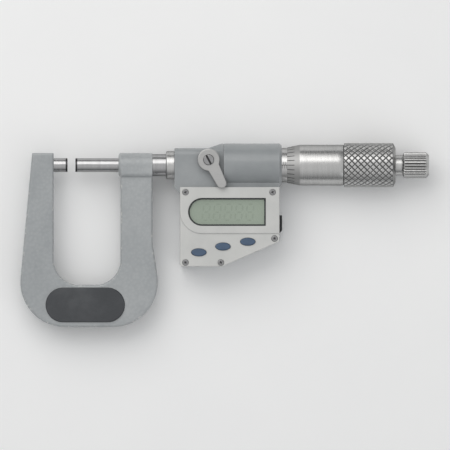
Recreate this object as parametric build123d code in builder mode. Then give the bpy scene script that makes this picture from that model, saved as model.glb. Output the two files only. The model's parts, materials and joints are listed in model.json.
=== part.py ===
"""Sheet metal micrometer, 0 to 25 mm, with a deep U frame and an electronic display.

Millimetres.  The origin is the middle of the anvil's measuring face.  +X runs along
the spindle to the ratchet, +Y points away from the throat, +Z comes out of the
display.  The instrument lies on the flat back of its display box.
"""

from build123d import *
from math import cos, sin, tan, radians, sqrt
import os

os.makedirs("parts", exist_ok=True)

# ---------------------------------------------------------------- driving dimensions
SPINDLE_R = 3.25          # measuring spindle and anvil, diameter 6.5
GAP = 3.76                # opening between the tips as drawn
CLOSE = 3.75              # travel left until the tips meet
OPEN = 21.25              # travel right from the drawn opening
TIP_T = 0.86              # thickness of a hard metal tip

THROAT_X0, THROAT_X1 = -6.57, 25.20
THROAT_Y = -56.93
THROAT_R = 11.90
ARM_TOP = 5.80
FRAME_HALF = 4.0          # half thickness of the forging
FRAME_ROUND = 1.1
CORNER_R = 21.42
CORNER_LX, CORNER_RX, CORNER_Y = -1.05, 21.61, -55.67
GRIP_X, GRIP_Y = 8.445, -66.54
GRIP_R, GRIP_CC = 8.26, 21.23

BOSS_X0, BOSS_X1, BOSS_R = 24.28, 40.46, 5.84
NECK_R, COLLAR_X0, COLLAR_R = 5.24, 46.87, 6.71
HSG_X0 = 50.93            # left face of the housing
BLOCK_TOP = 8.12
BLOCK_FRONT = 7.5
BLOCK_BACK = -8.1
BARREL_X0, BARREL_X1, BARREL_R = 74.46, 101.96, 10.31
BOX_FRONT = 5.96          # plane that carries the cover
BOX_BACK = -11.0          # flat back, the lowest face
BOX_WALL = 1.8
FACE_X0, FACE_X1 = 53.56, 100.91
FACE_Y1, FACE_Y0 = -10.43, -48.24
FACE_KINK_X, FACE_KINK_Y = 73.6, -36.37
COVER_LOW, COVER_HIGH = 8.6, 9.2
COVER_SKIN = 7.4          # underside of the cover's plate

SCREWS_HIGH = [(56.17, -12.88), (97.63, -12.88)]
SCREWS_LOW = [(56.17, -46.34), (73.02, -46.34), (98.56, -34.92)]
BUTTONS = [(62.52, -41.51), (73.99, -38.72), (85.82, -36.44)]
BUTTON_A, BUTTON_B = 3.71, 1.93
BUTTON_TRAVEL = 0.5

WIN_CX, WIN_CY, WIN_R, WIN_X1 = 64.07, -22.27, 6.67, 94.41
STEP_CX, STEP_CY, STEP_R = 63.90, -22.30, 10.23

PORT_Y, PORT_Z = -27.5, -1.2     # data port in the right wall
CELL_X, CELL_Y = 64.5, -37.0     # coin cell, behind the board
LOCK_X, LOCK_Y = 67.21, 2.55     # lock lever's axis
LOCK_ANGLE = -61.2

BORE_R = 8.2              # barrel bore and sleeve
SLEEVE_IN = 6.6
SLEEVE_X1 = 140.8
THIMBLE_X0 = 104.54
KNURL_X0, KNURL_X1, KNURL_R = 131.6, 154.94, 10.47
THIMBLE_R = 9.68
NUT_X0, NUT_X1 = 118.0, 137.5    # internal thread of the spindle nut
THREAD_R = 3.70

KNOB_X0, KNOB_X1, KNOB_R = 159.46, 172.0, 6.14
KNOB_FLUTES = 26

FACE_OUTLINE = [
    (FACE_X0, FACE_Y1),
    (FACE_X1, FACE_Y1),
    (FACE_X1, FACE_KINK_Y),
    (FACE_KINK_X, FACE_Y0),
    (FACE_X0, FACE_Y0),
]

# ---------------------------------------------------------------- frame
# One forging: deep U with a round boss on the right arm, bored for the stem.
cl, cr = (CORNER_LX, CORNER_Y), (CORNER_RX, CORNER_Y)
with BuildPart() as frame:
    with BuildSketch(Plane.XY.offset(-FRAME_HALF)):
        with BuildLine():
            Line((-16.85, ARM_TOP), (THROAT_X0, ARM_TOP))
            Line((THROAT_X0, ARM_TOP), (THROAT_X0, THROAT_Y + THROAT_R))
            ThreePointArc(
                (THROAT_X0, THROAT_Y + THROAT_R),
                (THROAT_X0 + THROAT_R * (1 - sqrt(0.5)), THROAT_Y + THROAT_R * (1 - sqrt(0.5))),
                (THROAT_X0 + THROAT_R, THROAT_Y),
            )
            Line((THROAT_X0 + THROAT_R, THROAT_Y), (THROAT_X1 - THROAT_R, THROAT_Y))
            ThreePointArc(
                (THROAT_X1 - THROAT_R, THROAT_Y),
                (THROAT_X1 - THROAT_R * (1 - sqrt(0.5)), THROAT_Y + THROAT_R * (1 - sqrt(0.5))),
                (THROAT_X1, THROAT_Y + THROAT_R),
            )
            Line((THROAT_X1, THROAT_Y + THROAT_R), (THROAT_X1, 0))
            Line((THROAT_X1, 0), (BOSS_X1, 0))
            Line((BOSS_X1, 0), (BOSS_X1, -37.06))
            Line((BOSS_X1, -37.06), (42.80, -52.64))
            ThreePointArc(
                (42.80, -52.64),
                (cr[0] + CORNER_R * cos(radians(-41)), cr[1] + CORNER_R * sin(radians(-41))),
                (cr[0], cr[1] - CORNER_R),
            )
            Line((cr[0], cr[1] - CORNER_R), (cl[0], cl[1] - CORNER_R))
            ThreePointArc(
                (cl[0], cl[1] - CORNER_R),
                (cl[0] + CORNER_R * cos(radians(222)), cl[1] + CORNER_R * sin(radians(222))),
                (-22.38, -53.72),
            )
            Line((-22.38, -53.72), (-16.85, ARM_TOP))
        make_face()
        blend = [v for v in vertices() if abs(v.X - BOSS_X1) < 0.01 and abs(v.Y + 37.06) < 0.01]
        fillet(blend, radius=14)
        tops = [v for v in vertices() if abs(v.Y - ARM_TOP) < 0.01]
        fillet(tops, radius=0.5)
    extrude(amount=2 * FRAME_HALF)
    rims = edges().filter_by(
        lambda e: abs(abs(e.center().Z) - FRAME_HALF) < 0.01 and e.center().Y < -0.02
        or abs(abs(e.center().Z) - FRAME_HALF) < 0.01 and e.center().X < 0
    )
    fillet(rims, radius=FRAME_ROUND)
    # boss with its rounded nose
    with BuildSketch(Plane.XY):
        with BuildLine():
            Polyline((26.5, 0), (24.28, 0), (BOSS_X0, 4.1))
            ThreePointArc((BOSS_X0, 4.1), (24.50, 5.12), (25.20, BOSS_R))
            Polyline((25.20, BOSS_R), (BOSS_X1 - 0.3, BOSS_R), (BOSS_X1, BOSS_R - 0.3), (BOSS_X1, 0), (26.5, 0))
        make_face()
    revolve(axis=Axis.X)
    # square shoulders that carry the boss on the arm
    with BuildPart(mode=Mode.PRIVATE) as shoulder:
        with BuildSketch(Plane.YZ.offset(THROAT_X1)):
            with Locations((-2.93, 0)):
                Rectangle(5.86, 11.6)
            fillet([v for v in vertices() if v.X < -5], radius=2.4)
        extrude(amount=BOSS_X1 - THROAT_X1)
        fillet(
            edges().filter_by(lambda e: abs(e.center().X - THROAT_X1) < 0.01 and e.center().Y < -0.5),
            radius=0.7,
        )
        chamfer(
            edges().filter_by(lambda e: abs(e.center().X - BOSS_X1) < 0.01 and e.center().Y < -0.5),
            length=0.3,
        )
    add(shoulder.part)
    # bore for the stem, and the nose hole that the spindle passes
    with BuildSketch(Plane.YZ.offset(27.0)):
        Circle(4.6)
    extrude(amount=20, mode=Mode.SUBTRACT)
    with BuildSketch(Plane.YZ.offset(20.0)):
        Circle(3.55)
    extrude(amount=8, mode=Mode.SUBTRACT)
    # anvil hole
    with BuildSketch(Plane.YZ.offset(-14.5)):
        Circle(2.4)
    extrude(amount=10, mode=Mode.SUBTRACT)
    # shallow beds for the grip plates
    with BuildSketch(Plane.XY.offset(FRAME_HALF)):
        with Locations((GRIP_X, GRIP_Y)):
            SlotCenterToCenter(GRIP_CC, 2 * GRIP_R)
    extrude(amount=-1.2, mode=Mode.SUBTRACT)
    with BuildSketch(Plane.XY.offset(-FRAME_HALF)):
        with Locations((GRIP_X, GRIP_Y)):
            SlotCenterToCenter(GRIP_CC, 2 * GRIP_R)
    extrude(amount=1.2, mode=Mode.SUBTRACT)
frame.part.label = "frame"
export_step(frame.part, "parts/frame.step")

# grip plates, moulded, bonded in the beds
with BuildPart() as grip_plate_front:
    with BuildSketch(Plane.XY.offset(FRAME_HALF - 1.2)):
        with Locations((GRIP_X, GRIP_Y)):
            SlotCenterToCenter(GRIP_CC, 2 * (GRIP_R - 0.06))
    extrude(amount=2.0)
    fillet(edges().group_by(Axis.Z)[-1], radius=0.5)
grip_plate_front.part.label = "grip_plate_front"
export_step(grip_plate_front.part, "parts/grip_plate_front.step")

with BuildPart() as grip_plate_back:
    with BuildSketch(Plane.XY.offset(-FRAME_HALF + 1.2)):
        with Locations((GRIP_X, GRIP_Y)):
            SlotCenterToCenter(GRIP_CC, 2 * (GRIP_R - 0.06))
    extrude(amount=-2.0)
    fillet(edges().group_by(Axis.Z)[0], radius=0.5)
grip_plate_back.part.label = "grip_plate_back"
export_step(grip_plate_back.part, "parts/grip_plate_back.step")

# ---------------------------------------------------------------- anvil
with BuildPart() as anvil:
    with BuildSketch(Plane.XY):
        with BuildLine():
            Polyline(
                (-14.5, 0), (-14.5, 2.1), (-14.2, 2.4), (-6.57, 2.4), (-6.57, SPINDLE_R),
                (-TIP_T, SPINDLE_R), (-TIP_T, 0), close=True,
            )
        make_face()
    revolve(axis=Axis.X)
anvil.part.label = "anvil"
export_step(anvil.part, "parts/anvil.step")

with BuildPart() as anvil_tip:
    with BuildSketch(Plane.XY):
        with BuildLine():
            Polyline(
                (-TIP_T, 0), (-TIP_T, SPINDLE_R), (-0.08, SPINDLE_R), (0, SPINDLE_R - 0.08),
                (0, 0), close=True,
            )
        make_face()
    revolve(axis=Axis.X)
anvil_tip.part.label = "anvil_tip"
export_step(anvil_tip.part, "parts/anvil_tip.step")

# ---------------------------------------------------------------- stem and collar nut
# The stem is pressed in the boss, shows as the neck, and guides the spindle.
with BuildPart() as stem:
    with BuildSketch(Plane.XY):
        with BuildLine():
            Polyline(
                (27.2, 0), (27.2, 4.4), (27.4, 4.6), (BOSS_X1, 4.6), (BOSS_X1, NECK_R),
                (COLLAR_X0, NECK_R), (COLLAR_X0, 5.0), (56.0, 5.0), (56.0, 0), close=True,
            )
        make_face()
    revolve(axis=Axis.X)
    with BuildSketch(Plane.YZ.offset(20)):
        Circle(SPINDLE_R + 0.02)
    extrude(amount=40, mode=Mode.SUBTRACT)
stem.part.label = "stem"
export_step(stem.part, "parts/stem.step")

with BuildPart() as collar_nut:
    with BuildSketch(Plane.XY):
        with BuildLine():
            Line((COLLAR_X0, 5.0), (COLLAR_X0, COLLAR_R - 0.7))
            ThreePointArc(
                (COLLAR_X0, COLLAR_R - 0.7),
                (COLLAR_X0 + 0.205, COLLAR_R - 0.205),
                (COLLAR_X0 + 0.7, COLLAR_R),
            )
            Polyline(
                (COLLAR_X0 + 0.7, COLLAR_R), (HSG_X0 - 0.15, COLLAR_R), (HSG_X0, COLLAR_R - 0.15),
                (HSG_X0, 5.0), (COLLAR_X0, 5.0),
            )
        make_face()
    revolve(axis=Axis.X)
    # two blind holes for a pin wrench, above and below
    with BuildSketch(Plane.XY.offset(-8)):
        with Locations((48.9, 0)):
            Circle(0.6)
    extrude(amount=2.6, mode=Mode.SUBTRACT)
collar_nut.part.label = "collar_nut"
export_step(collar_nut.part, "parts/collar_nut.step")

# ---------------------------------------------------------------- housing
# One casting: clamp block, barrel and the box for the electronics.
with BuildPart() as housing:
    # box
    with BuildSketch(Plane.XY.offset(BOX_BACK)):
        with BuildLine():
            Polyline(
                (FACE_X0, -1.2), (FACE_X1, -1.2), (FACE_X1, FACE_KINK_Y), (FACE_KINK_X, FACE_Y0),
                (FACE_X0, FACE_Y0), close=True,
            )
        make_face()
        fillet([v for v in vertices() if v.Y < -47 and v.X < 60], radius=1.2)
        fillet([v for v in vertices() if abs(v.Y - FACE_KINK_Y) < 0.01], radius=1.4)
    extrude(amount=BOX_FRONT - BOX_BACK)
    # rounded back rim, with a larger round along the barrel
    back = edges().filter_by(lambda e: abs(e.center().Z - BOX_BACK) < 0.01)
    fillet(back.filter_by(lambda e: e.center().Y > -1.3), radius=5.0)
    rim = edges().filter_by(lambda e: abs(e.center().Z - BOX_BACK) < 0.01 and e.center().Y < -6.4)
    fillet(rim, radius=0.9)
    # clamp block, with the sloping shoulder up to the barrel
    with BuildSketch(Plane.XY.offset(BLOCK_BACK)):
        with BuildLine():
            Polyline(
                (HSG_X0, BLOCK_TOP), (66.88, BLOCK_TOP), (73.4, BARREL_R), (BARREL_X0, BARREL_R),
                (BARREL_X0, FACE_Y1), (HSG_X0, FACE_Y1), close=True,
            )
        make_face()
    extrude(amount=BLOCK_FRONT - BLOCK_BACK)
    upper = edges().filter_by(
        lambda e: e.center().Y > BLOCK_TOP - 0.01
        and (abs(e.center().Z - BLOCK_FRONT) < 0.01 or abs(e.center().Z - BLOCK_BACK) < 0.01)
    )
    fillet(upper, radius=3.4)
    # the shoulder's corners run out on the barrel's cylinder
    with BuildSketch(Plane.YZ.offset(HSG_X0 - 1)):
        with Locations((10, 0)):
            Rectangle(20, 30)
        Circle(BARREL_R, mode=Mode.SUBTRACT)
    extrude(amount=40, mode=Mode.SUBTRACT)
    # barrel
    with BuildSketch(Plane.XY):
        with BuildLine():
            Polyline(
                (BARREL_X0, 0), (BARREL_X0, BARREL_R), (BARREL_X1 - 1.06, BARREL_R),
                (BARREL_X1, BARREL_R - 1.06), (BARREL_X1, 0), close=True,
            )
        make_face()
    revolve(axis=Axis.X)
    # the small sloping gusset between block and box
    with BuildSketch(Plane.XY.offset(BLOCK_BACK)):
        with BuildLine():
            Polyline(
                (HSG_X0, FACE_Y1), (FACE_X0, -13.88), (56.0, -13.88), (56.0, -8.0),
                (HSG_X0, -8.0), close=True,
            )
        make_face()
    extrude(amount=BOX_FRONT - BLOCK_BACK)
    with BuildSketch(Plane.XY.offset(BOX_FRONT - 1)):
        with BuildLine():
            Polyline(
                (HSG_X0, FACE_Y1), (FACE_X0, -13.88), (FACE_X0, -8.0), (HSG_X0, -8.0), close=True,
            )
        make_face()
    extrude(amount=BLOCK_FRONT - BOX_FRONT + 1)
    # fine turned groove where the barrel leaves the shoulder
    with BuildSketch(Plane.XY):
        with Locations((74.34, BARREL_R + 0.75)):
            Rectangle(0.34, 2.0)
    revolve(axis=Axis.X, mode=Mode.SUBTRACT)

    # hollow for the electronics, open to the front
    with BuildSketch(Plane.XY.offset(BOX_FRONT)):
        with BuildLine():
            Polyline(
                (FACE_X0 + BOX_WALL, -12.2),
                (FACE_X1 - BOX_WALL, -12.2),
                (FACE_X1 - BOX_WALL, FACE_KINK_Y + BOX_WALL * 0.65),
                (FACE_KINK_X - BOX_WALL * 0.21, FACE_Y0 + BOX_WALL),
                (FACE_X0 + BOX_WALL, FACE_Y0 + BOX_WALL),
                close=True,
            )
        make_face()
        for sx, sy in SCREWS_HIGH + SCREWS_LOW:
            with Locations((sx, sy)):
                Circle(2.4, mode=Mode.SUBTRACT)
    extrude(amount=-(BOX_FRONT - BOX_BACK - BOX_WALL), mode=Mode.SUBTRACT)
    # corners that the bosses would cut off from the hollow stay solid
    with BuildSketch(Plane.XY.offset(BOX_FRONT)):
        with Locations(*[(sx, sy) for sx, sy in SCREWS_HIGH + SCREWS_LOW]):
            Circle(0.8)
    extrude(amount=-8.0, mode=Mode.SUBTRACT)
    # groove for the cover gasket
    with BuildSketch(Plane.XY.offset(BOX_FRONT)):
        with BuildLine():
            Polyline(
                (FACE_X0 + 0.5, FACE_Y1 - 0.35), (FACE_X1 - 0.5, FACE_Y1 - 0.35),
                (FACE_X1 - 0.5, FACE_KINK_Y + 0.33), (FACE_KINK_X - 0.1, FACE_Y0 + 0.5),
                (FACE_X0 + 0.5, FACE_Y0 + 0.5), close=True,
            )
        make_face()
        with BuildLine():
            Polyline(
                (FACE_X0 + 1.2, FACE_Y1 - 1.05), (FACE_X1 - 1.2, FACE_Y1 - 1.05),
                (FACE_X1 - 1.2, FACE_KINK_Y + 0.78), (FACE_KINK_X - 0.24, FACE_Y0 + 1.2),
                (FACE_X0 + 1.2, FACE_Y0 + 1.2), close=True,
            )
        make_face(mode=Mode.SUBTRACT)
        for sx, sy in SCREWS_HIGH + SCREWS_LOW:
            with Locations((sx, sy)):
                Circle(0.95, mode=Mode.SUBTRACT)
    extrude(amount=-0.6, mode=Mode.SUBTRACT)

    # well for the coin cell
    with BuildSketch(Plane.XY.offset(BOX_BACK + BOX_WALL)):
        with Locations((CELL_X, CELL_Y)):
            Circle(8.3)
            Circle(7.1, mode=Mode.SUBTRACT)
    extrude(amount=1.0)
    with BuildSketch(Plane.XY.offset(BOX_BACK + BOX_WALL + 1.0)):
        with Locations((CELL_X, CELL_Y)):
            Circle(8.3)
            Circle(6.0, mode=Mode.SUBTRACT)
    extrude(amount=4.4)
    with BuildSketch(Plane.XY.offset(BOX_BACK + BOX_WALL + 1.2)):
        with Locations((CELL_X + 7.0, CELL_Y)):
            Rectangle(4.0, 3.4)
    extrude(amount=6.0, mode=Mode.SUBTRACT)
    # opening for the cell, stepped for the cap, with two bayonet notches
    with BuildSketch(Plane.XY.offset(BOX_BACK)):
        with Locations((CELL_X, CELL_Y)):
            Circle(7.6)
    extrude(amount=1.0, mode=Mode.SUBTRACT)
    with BuildSketch(Plane.XY.offset(BOX_BACK)):
        with Locations((CELL_X, CELL_Y)):
            Circle(6.1)
            with PolarLocations(6.2, 2, start_angle=40):
                Rectangle(1.9, 3.2)
    extrude(amount=BOX_WALL, mode=Mode.SUBTRACT)

    # bores along the spindle
    with BuildSketch(Plane.YZ.offset(HSG_X0 - 1)):
        Circle(5.0)
    extrude(amount=56.0 - HSG_X0 + 1, mode=Mode.SUBTRACT)
    with BuildSketch(Plane.YZ.offset(55.0)):
        Circle(3.6)
    extrude(amount=20, mode=Mode.SUBTRACT)
    with BuildSketch(Plane.YZ.offset(70.0)):
        Circle(4.45)
    extrude(amount=8, mode=Mode.SUBTRACT)
    with BuildSketch(Plane.YZ.offset(77.0)):
        Circle(BORE_R)
    extrude(amount=30, mode=Mode.SUBTRACT)
    with BuildSketch(Plane.YZ.offset(100.4)):
        Circle(9.0)
    extrude(amount=5, mode=Mode.SUBTRACT)
    # hole for the lock stud and its plug
    with BuildSketch(Plane.XY.offset(BLOCK_FRONT + 1)):
        with Locations((LOCK_X, LOCK_Y)):
            Circle(2.5)
    extrude(amount=-(BLOCK_FRONT + 1 - 1.0), mode=Mode.SUBTRACT)
    # slot from the barrel bore to the board for the encoder's flex strip
    with BuildSketch(Plane.XY.offset(0.2)):
        with Locations((80.9, -10.0)):
            Rectangle(4.0, 5.0)
    extrude(amount=1.0, mode=Mode.SUBTRACT)
    # data port in the right wall
    with BuildSketch(Plane.YZ.offset(98.0)):
        with Locations((PORT_Y, PORT_Z)):
            Rectangle(5.8, 4.6)
    extrude(amount=4.0, mode=Mode.SUBTRACT)
housing.part.label = "housing"
export_step(housing.part, "parts/housing.step")

# cover gasket, a flat ring lying in its groove
with BuildPart() as cover_gasket:
    with BuildSketch(Plane.XY.offset(BOX_FRONT)):
        with BuildLine():
            Polyline(
                (FACE_X0 + 0.55, FACE_Y1 - 0.40), (FACE_X1 - 0.55, FACE_Y1 - 0.40),
                (FACE_X1 - 0.55, FACE_KINK_Y + 0.36), (FACE_KINK_X - 0.11, FACE_Y0 + 0.55),
                (FACE_X0 + 0.55, FACE_Y0 + 0.55), close=True,
            )
        make_face()
        with BuildLine():
            Polyline(
                (FACE_X0 + 1.15, FACE_Y1 - 1.00), (FACE_X1 - 1.15, FACE_Y1 - 1.00),
                (FACE_X1 - 1.15, FACE_KINK_Y + 0.75), (FACE_KINK_X - 0.23, FACE_Y0 + 1.15),
                (FACE_X0 + 1.15, FACE_Y0 + 1.15), close=True,
            )
        make_face(mode=Mode.SUBTRACT)
        for sx, sy in SCREWS_HIGH + SCREWS_LOW:
            with Locations((sx, sy)):
                Circle(1.0, mode=Mode.SUBTRACT)
    extrude(amount=-0.6)
cover_gasket.part.label = "cover_gasket"
export_step(cover_gasket.part, "parts/cover_gasket.step")

# ---------------------------------------------------------------- front cover
with BuildPart() as front_cover:
    with BuildSketch(Plane.XY.offset(BOX_FRONT)):
        with BuildLine():
            Polyline(*FACE_OUTLINE, close=True)
        make_face()
        fillet([v for v in vertices() if v.Y < -47 and v.X < 60], radius=1.2)
        fillet([v for v in vertices() if abs(v.Y - FACE_KINK_Y) < 0.01], radius=1.4)
    extrude(amount=COVER_LOW - BOX_FRONT)
    fillet(edges().group_by(Axis.Z)[-1], radius=0.35)
    # raised display field
    with BuildSketch(Plane.XY.offset(COVER_LOW - 0.6)):
        with BuildLine():
            Polyline(
                (STEP_CX, STEP_CY - STEP_R), (FACE_X1, STEP_CY - STEP_R), (FACE_X1, FACE_Y1),
                (FACE_X0, FACE_Y1), (FACE_X0, STEP_CY),
            )
            ThreePointArc(
                (FACE_X0, STEP_CY),
                (STEP_CX - 7.26, STEP_CY - 7.26),
                (STEP_CX, STEP_CY - STEP_R),
            )
        make_face()
    extrude(amount=COVER_HIGH - COVER_LOW + 0.6)
    fillet(edges().group_by(Axis.Z)[-1], radius=0.3)
    # hollow underside
    with BuildSketch(Plane.XY.offset(BOX_FRONT)):
        with BuildLine():
            Polyline(
                (FACE_X0 + BOX_WALL, FACE_Y1 - BOX_WALL),
                (FACE_X1 - BOX_WALL, FACE_Y1 - BOX_WALL),
                (FACE_X1 - BOX_WALL, FACE_KINK_Y + BOX_WALL * 0.65),
                (FACE_KINK_X - BOX_WALL * 0.21, FACE_Y0 + BOX_WALL),
                (FACE_X0 + BOX_WALL, FACE_Y0 + BOX_WALL),
                close=True,
            )
        make_face()
        for sx, sy in SCREWS_HIGH + SCREWS_LOW:
            with Locations((sx, sy)):
                Circle(2.4, mode=Mode.SUBTRACT)
    extrude(amount=COVER_SKIN - BOX_FRONT, mode=Mode.SUBTRACT)
    # window: a ledge for the pane, and the smaller opening behind it
    with BuildSketch(Plane.XY.offset(COVER_HIGH + 1)):
        with Locations(((WIN_CX + WIN_X1) / 2, WIN_CY)):
            Rectangle(WIN_X1 - WIN_CX, 2 * WIN_R)
        with Locations((WIN_CX, WIN_CY)):
            Circle(WIN_R)
        fillet([v for v in vertices() if v.X > 90], radius=0.3)
    extrude(amount=-(COVER_HIGH + 1 - 7.8), mode=Mode.SUBTRACT)
    with BuildSketch(Plane.XY.offset(COVER_HIGH + 1)):
        with Locations(((WIN_CX + WIN_X1 - 0.8) / 2, WIN_CY)):
            Rectangle(WIN_X1 - 0.8 - WIN_CX, 2 * (WIN_R - 0.8))
        with Locations((WIN_CX, WIN_CY)):
            Circle(WIN_R - 0.8)
    extrude(amount=-5, mode=Mode.SUBTRACT)
    # button holes
    for bx, by in BUTTONS:
        with BuildSketch(Plane.XY.offset(BOX_FRONT)):
            with Locations((bx, by)):
                Ellipse(BUTTON_A, BUTTON_B)
        extrude(amount=5, mode=Mode.SUBTRACT)
    # screw holes with their counterbores
    with BuildSketch(Plane.XY.offset(BOX_FRONT)):
        with Locations(*(SCREWS_HIGH + SCREWS_LOW)):
            Circle(0.9)
    extrude(amount=6, mode=Mode.SUBTRACT)
    with BuildSketch(Plane.XY.offset(COVER_HIGH - 0.9)):
        with Locations(*SCREWS_HIGH):
            Circle(1.56)
    extrude(amount=4, mode=Mode.SUBTRACT)
    with BuildSketch(Plane.XY.offset(COVER_LOW - 0.9)):
        with Locations(*SCREWS_LOW):
            Circle(1.56)
    extrude(amount=4, mode=Mode.SUBTRACT)
front_cover.part.label = "front_cover"
export_step(front_cover.part, "parts/front_cover.step")

# five identical cross-recess screws
with BuildPart() as cover_screws:
    for top, spots in ((COVER_HIGH, SCREWS_HIGH), (COVER_LOW, SCREWS_LOW)):
        for sx, sy in spots:
            with BuildSketch(Plane.XY.offset(top - 0.9)):
                with Locations((sx, sy)):
                    Circle(1.48)
            extrude(amount=1.1)
            with BuildSketch(Plane.XY.offset(top - 0.9)):
                with Locations((sx, sy)):
                    Circle(0.8)
            extrude(amount=-(top - 0.9 - BOX_FRONT + 5.0))
    fillet(
        edges().filter_by(
            lambda e: e.geom_type == GeomType.CIRCLE
            and abs(e.radius - 1.48) < 0.01
            and (abs(e.center().Z - COVER_HIGH - 0.2) < 0.01 or abs(e.center().Z - COVER_LOW - 0.2) < 0.01)
        ),
        radius=0.35,
    )
    for top, spots in ((COVER_HIGH, SCREWS_HIGH), (COVER_LOW, SCREWS_LOW)):
        with BuildSketch(Plane.XY.offset(top + 0.3)):
            with Locations(*spots):
                Rectangle(1.5, 0.36, rotation=25)
                Rectangle(0.36, 1.5, rotation=25)
        extrude(amount=-0.8, mode=Mode.SUBTRACT)
cover_screws.part.label = "cover_screws"
export_step(cover_screws.part, "parts/cover_screws.step")

# window pane
with BuildPart() as display_window:
    with BuildSketch(Plane.XY.offset(7.86)):
        with Locations(((WIN_CX + WIN_X1 - 0.08) / 2, WIN_CY)):
            Rectangle(WIN_X1 - 0.08 - WIN_CX, 2 * (WIN_R - 0.08))
        with Locations((WIN_CX, WIN_CY)):
            Circle(WIN_R - 0.08)
        fillet([v for v in vertices() if v.X > 90], radius=0.3)
    extrude(amount=0.84)
display_window.part.label = "display_window"
export_step(display_window.part, "parts/display_window.step")

# ---------------------------------------------------------------- display and board
BOARD_Z0, BOARD_Z1 = 1.0, 2.2
LCD = (57.2, 95.0, -29.1, -15.5)  # x0, x1, y0, y1

with BuildPart() as lcd_panel:
    with BuildSketch(Plane.XY.offset(5.6)):
        with Locations(((LCD[0] + LCD[1]) / 2, (LCD[2] + LCD[3]) / 2)):
            Rectangle(LCD[1] - LCD[0], LCD[3] - LCD[2])
    extrude(amount=1.7)
lcd_panel.part.label = "lcd_panel"
export_step(lcd_panel.part, "parts/lcd_panel.step")

with BuildPart() as lcd_holder:
    with BuildSketch(Plane.XY.offset(BOARD_Z1)):
        with Locations((76.1, -22.35)):
            Rectangle(40.4, 15.9)
            Rectangle(38.0, 13.8, mode=Mode.SUBTRACT)
        for sx, sy in SCREWS_HIGH:
            with Locations((sx, sy)):
                Circle(2.6, mode=Mode.SUBTRACT)
    extrude(amount=7.3 - BOARD_Z1)
    # inner ribs that carry the glass
    with BuildSketch(Plane.XY.offset(BOARD_Z1)):
        with Locations((76.1, -19.2), (76.1, -25.4)):
            Rectangle(38.2, 1.0)
    extrude(amount=5.6 - BOARD_Z1)
lcd_holder.part.label = "lcd_holder"
export_step(lcd_holder.part, "parts/lcd_holder.step")

with BuildPart() as contact_strips:
    with BuildSketch(Plane.XY.offset(BOARD_Z1)):
        with Locations((76.1, -17.0), (76.1, -27.6)):
            Rectangle(32.0, 1.8)
    extrude(amount=5.6 - BOARD_Z1)
contact_strips.part.label = "contact_strips"
export_step(contact_strips.part, "parts/contact_strips.step")

with BuildPart() as circuit_board:
    with BuildSketch(Plane.XY.offset(BOARD_Z0)):
        with BuildLine():
            Polyline(
                (55.8, -12.5), (98.7, -12.5), (98.7, -35.2), (73.3, -46.1), (55.8, -46.1),
                close=True,
            )
        make_face()
        for sx, sy in SCREWS_HIGH + SCREWS_LOW:
            with Locations((sx, sy)):
                Circle(2.6, mode=Mode.SUBTRACT)
    extrude(amount=BOARD_Z1 - BOARD_Z0)
circuit_board.part.label = "circuit_board"
export_step(circuit_board.part, "parts/circuit_board.step")

with BuildPart() as board_chips:
    with BuildSketch(Plane.XY.offset(BOARD_Z0)):
        with Locations((80.0, -22.0)):
            Rectangle(8.0, 8.0)
        with Locations((90.0, -20.0), (90.0, -26.0)):
            Rectangle(2.4, 1.6)
        with Locations((86.0, -31.5)):
            Rectangle(6.0, 2.2)
    extrude(amount=-1.3)
board_chips.part.label = "board_chips"
export_step(board_chips.part, "parts/board_chips.step")

with BuildPart() as keypad_mat:
    with BuildSketch(Plane.XY.offset(BOARD_Z1)):
        with BuildLine():
            Polyline(
                (57.6, -38.2), (67.3, -38.2), (69.2, -35.4), (79.2, -35.4), (81.0, -33.2),
                (91.4, -33.2), (91.4, -37.2), (80.5, -42.0), (70.0, -43.4), (69.4, -44.3),
                (59.4, -44.3), (57.6, -43.0), close=True,
            )
        make_face()
    extrude(amount=0.8)
    for bx, by in BUTTONS:
        with BuildSketch(Plane.XY.offset(BOARD_Z1)):
            with Locations((bx, by)):
                Ellipse(2.6, 1.4)
        extrude(amount=2.7)
keypad_mat.part.label = "keypad_mat"
export_step(keypad_mat.part, "parts/keypad_mat.step")

# buttons: an oval cap with a retaining flange under the cover
with BuildPart() as button_1:
    with BuildSketch(Plane.XY.offset(5.6)):
        with Locations(BUTTONS[0]):
            Ellipse(4.35, 2.55)
    extrude(amount=1.6)
    with BuildSketch(Plane.XY.offset(5.6)):
        with Locations(BUTTONS[0]):
            Ellipse(BUTTON_A - 0.12, BUTTON_B - 0.12)
    extrude(amount=9.3 - 5.6)
    fillet(edges().group_by(Axis.Z)[-1], radius=0.45)
button_1.part.label = "button_1"
export_step(button_1.part, "parts/button_1.step")

with BuildPart() as button_2:
    with BuildSketch(Plane.XY.offset(5.6)):
        with Locations(BUTTONS[1]):
            Ellipse(4.35, 2.55)
    extrude(amount=1.6)
    with BuildSketch(Plane.XY.offset(5.6)):
        with Locations(BUTTONS[1]):
            Ellipse(BUTTON_A - 0.12, BUTTON_B - 0.12)
    extrude(amount=9.3 - 5.6)
    fillet(edges().group_by(Axis.Z)[-1], radius=0.45)
button_2.part.label = "button_2"
export_step(button_2.part, "parts/button_2.step")

with BuildPart() as button_3:
    with BuildSketch(Plane.XY.offset(5.6)):
        with Locations(BUTTONS[2]):
            Ellipse(4.35, 2.55)
    extrude(amount=1.6)
    with BuildSketch(Plane.XY.offset(5.6)):
        with Locations(BUTTONS[2]):
            Ellipse(BUTTON_A - 0.12, BUTTON_B - 0.12)
    extrude(amount=9.3 - 5.6)
    fillet(edges().group_by(Axis.Z)[-1], radius=0.45)
button_3.part.label = "button_3"
export_step(button_3.part, "parts/button_3.step")

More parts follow.
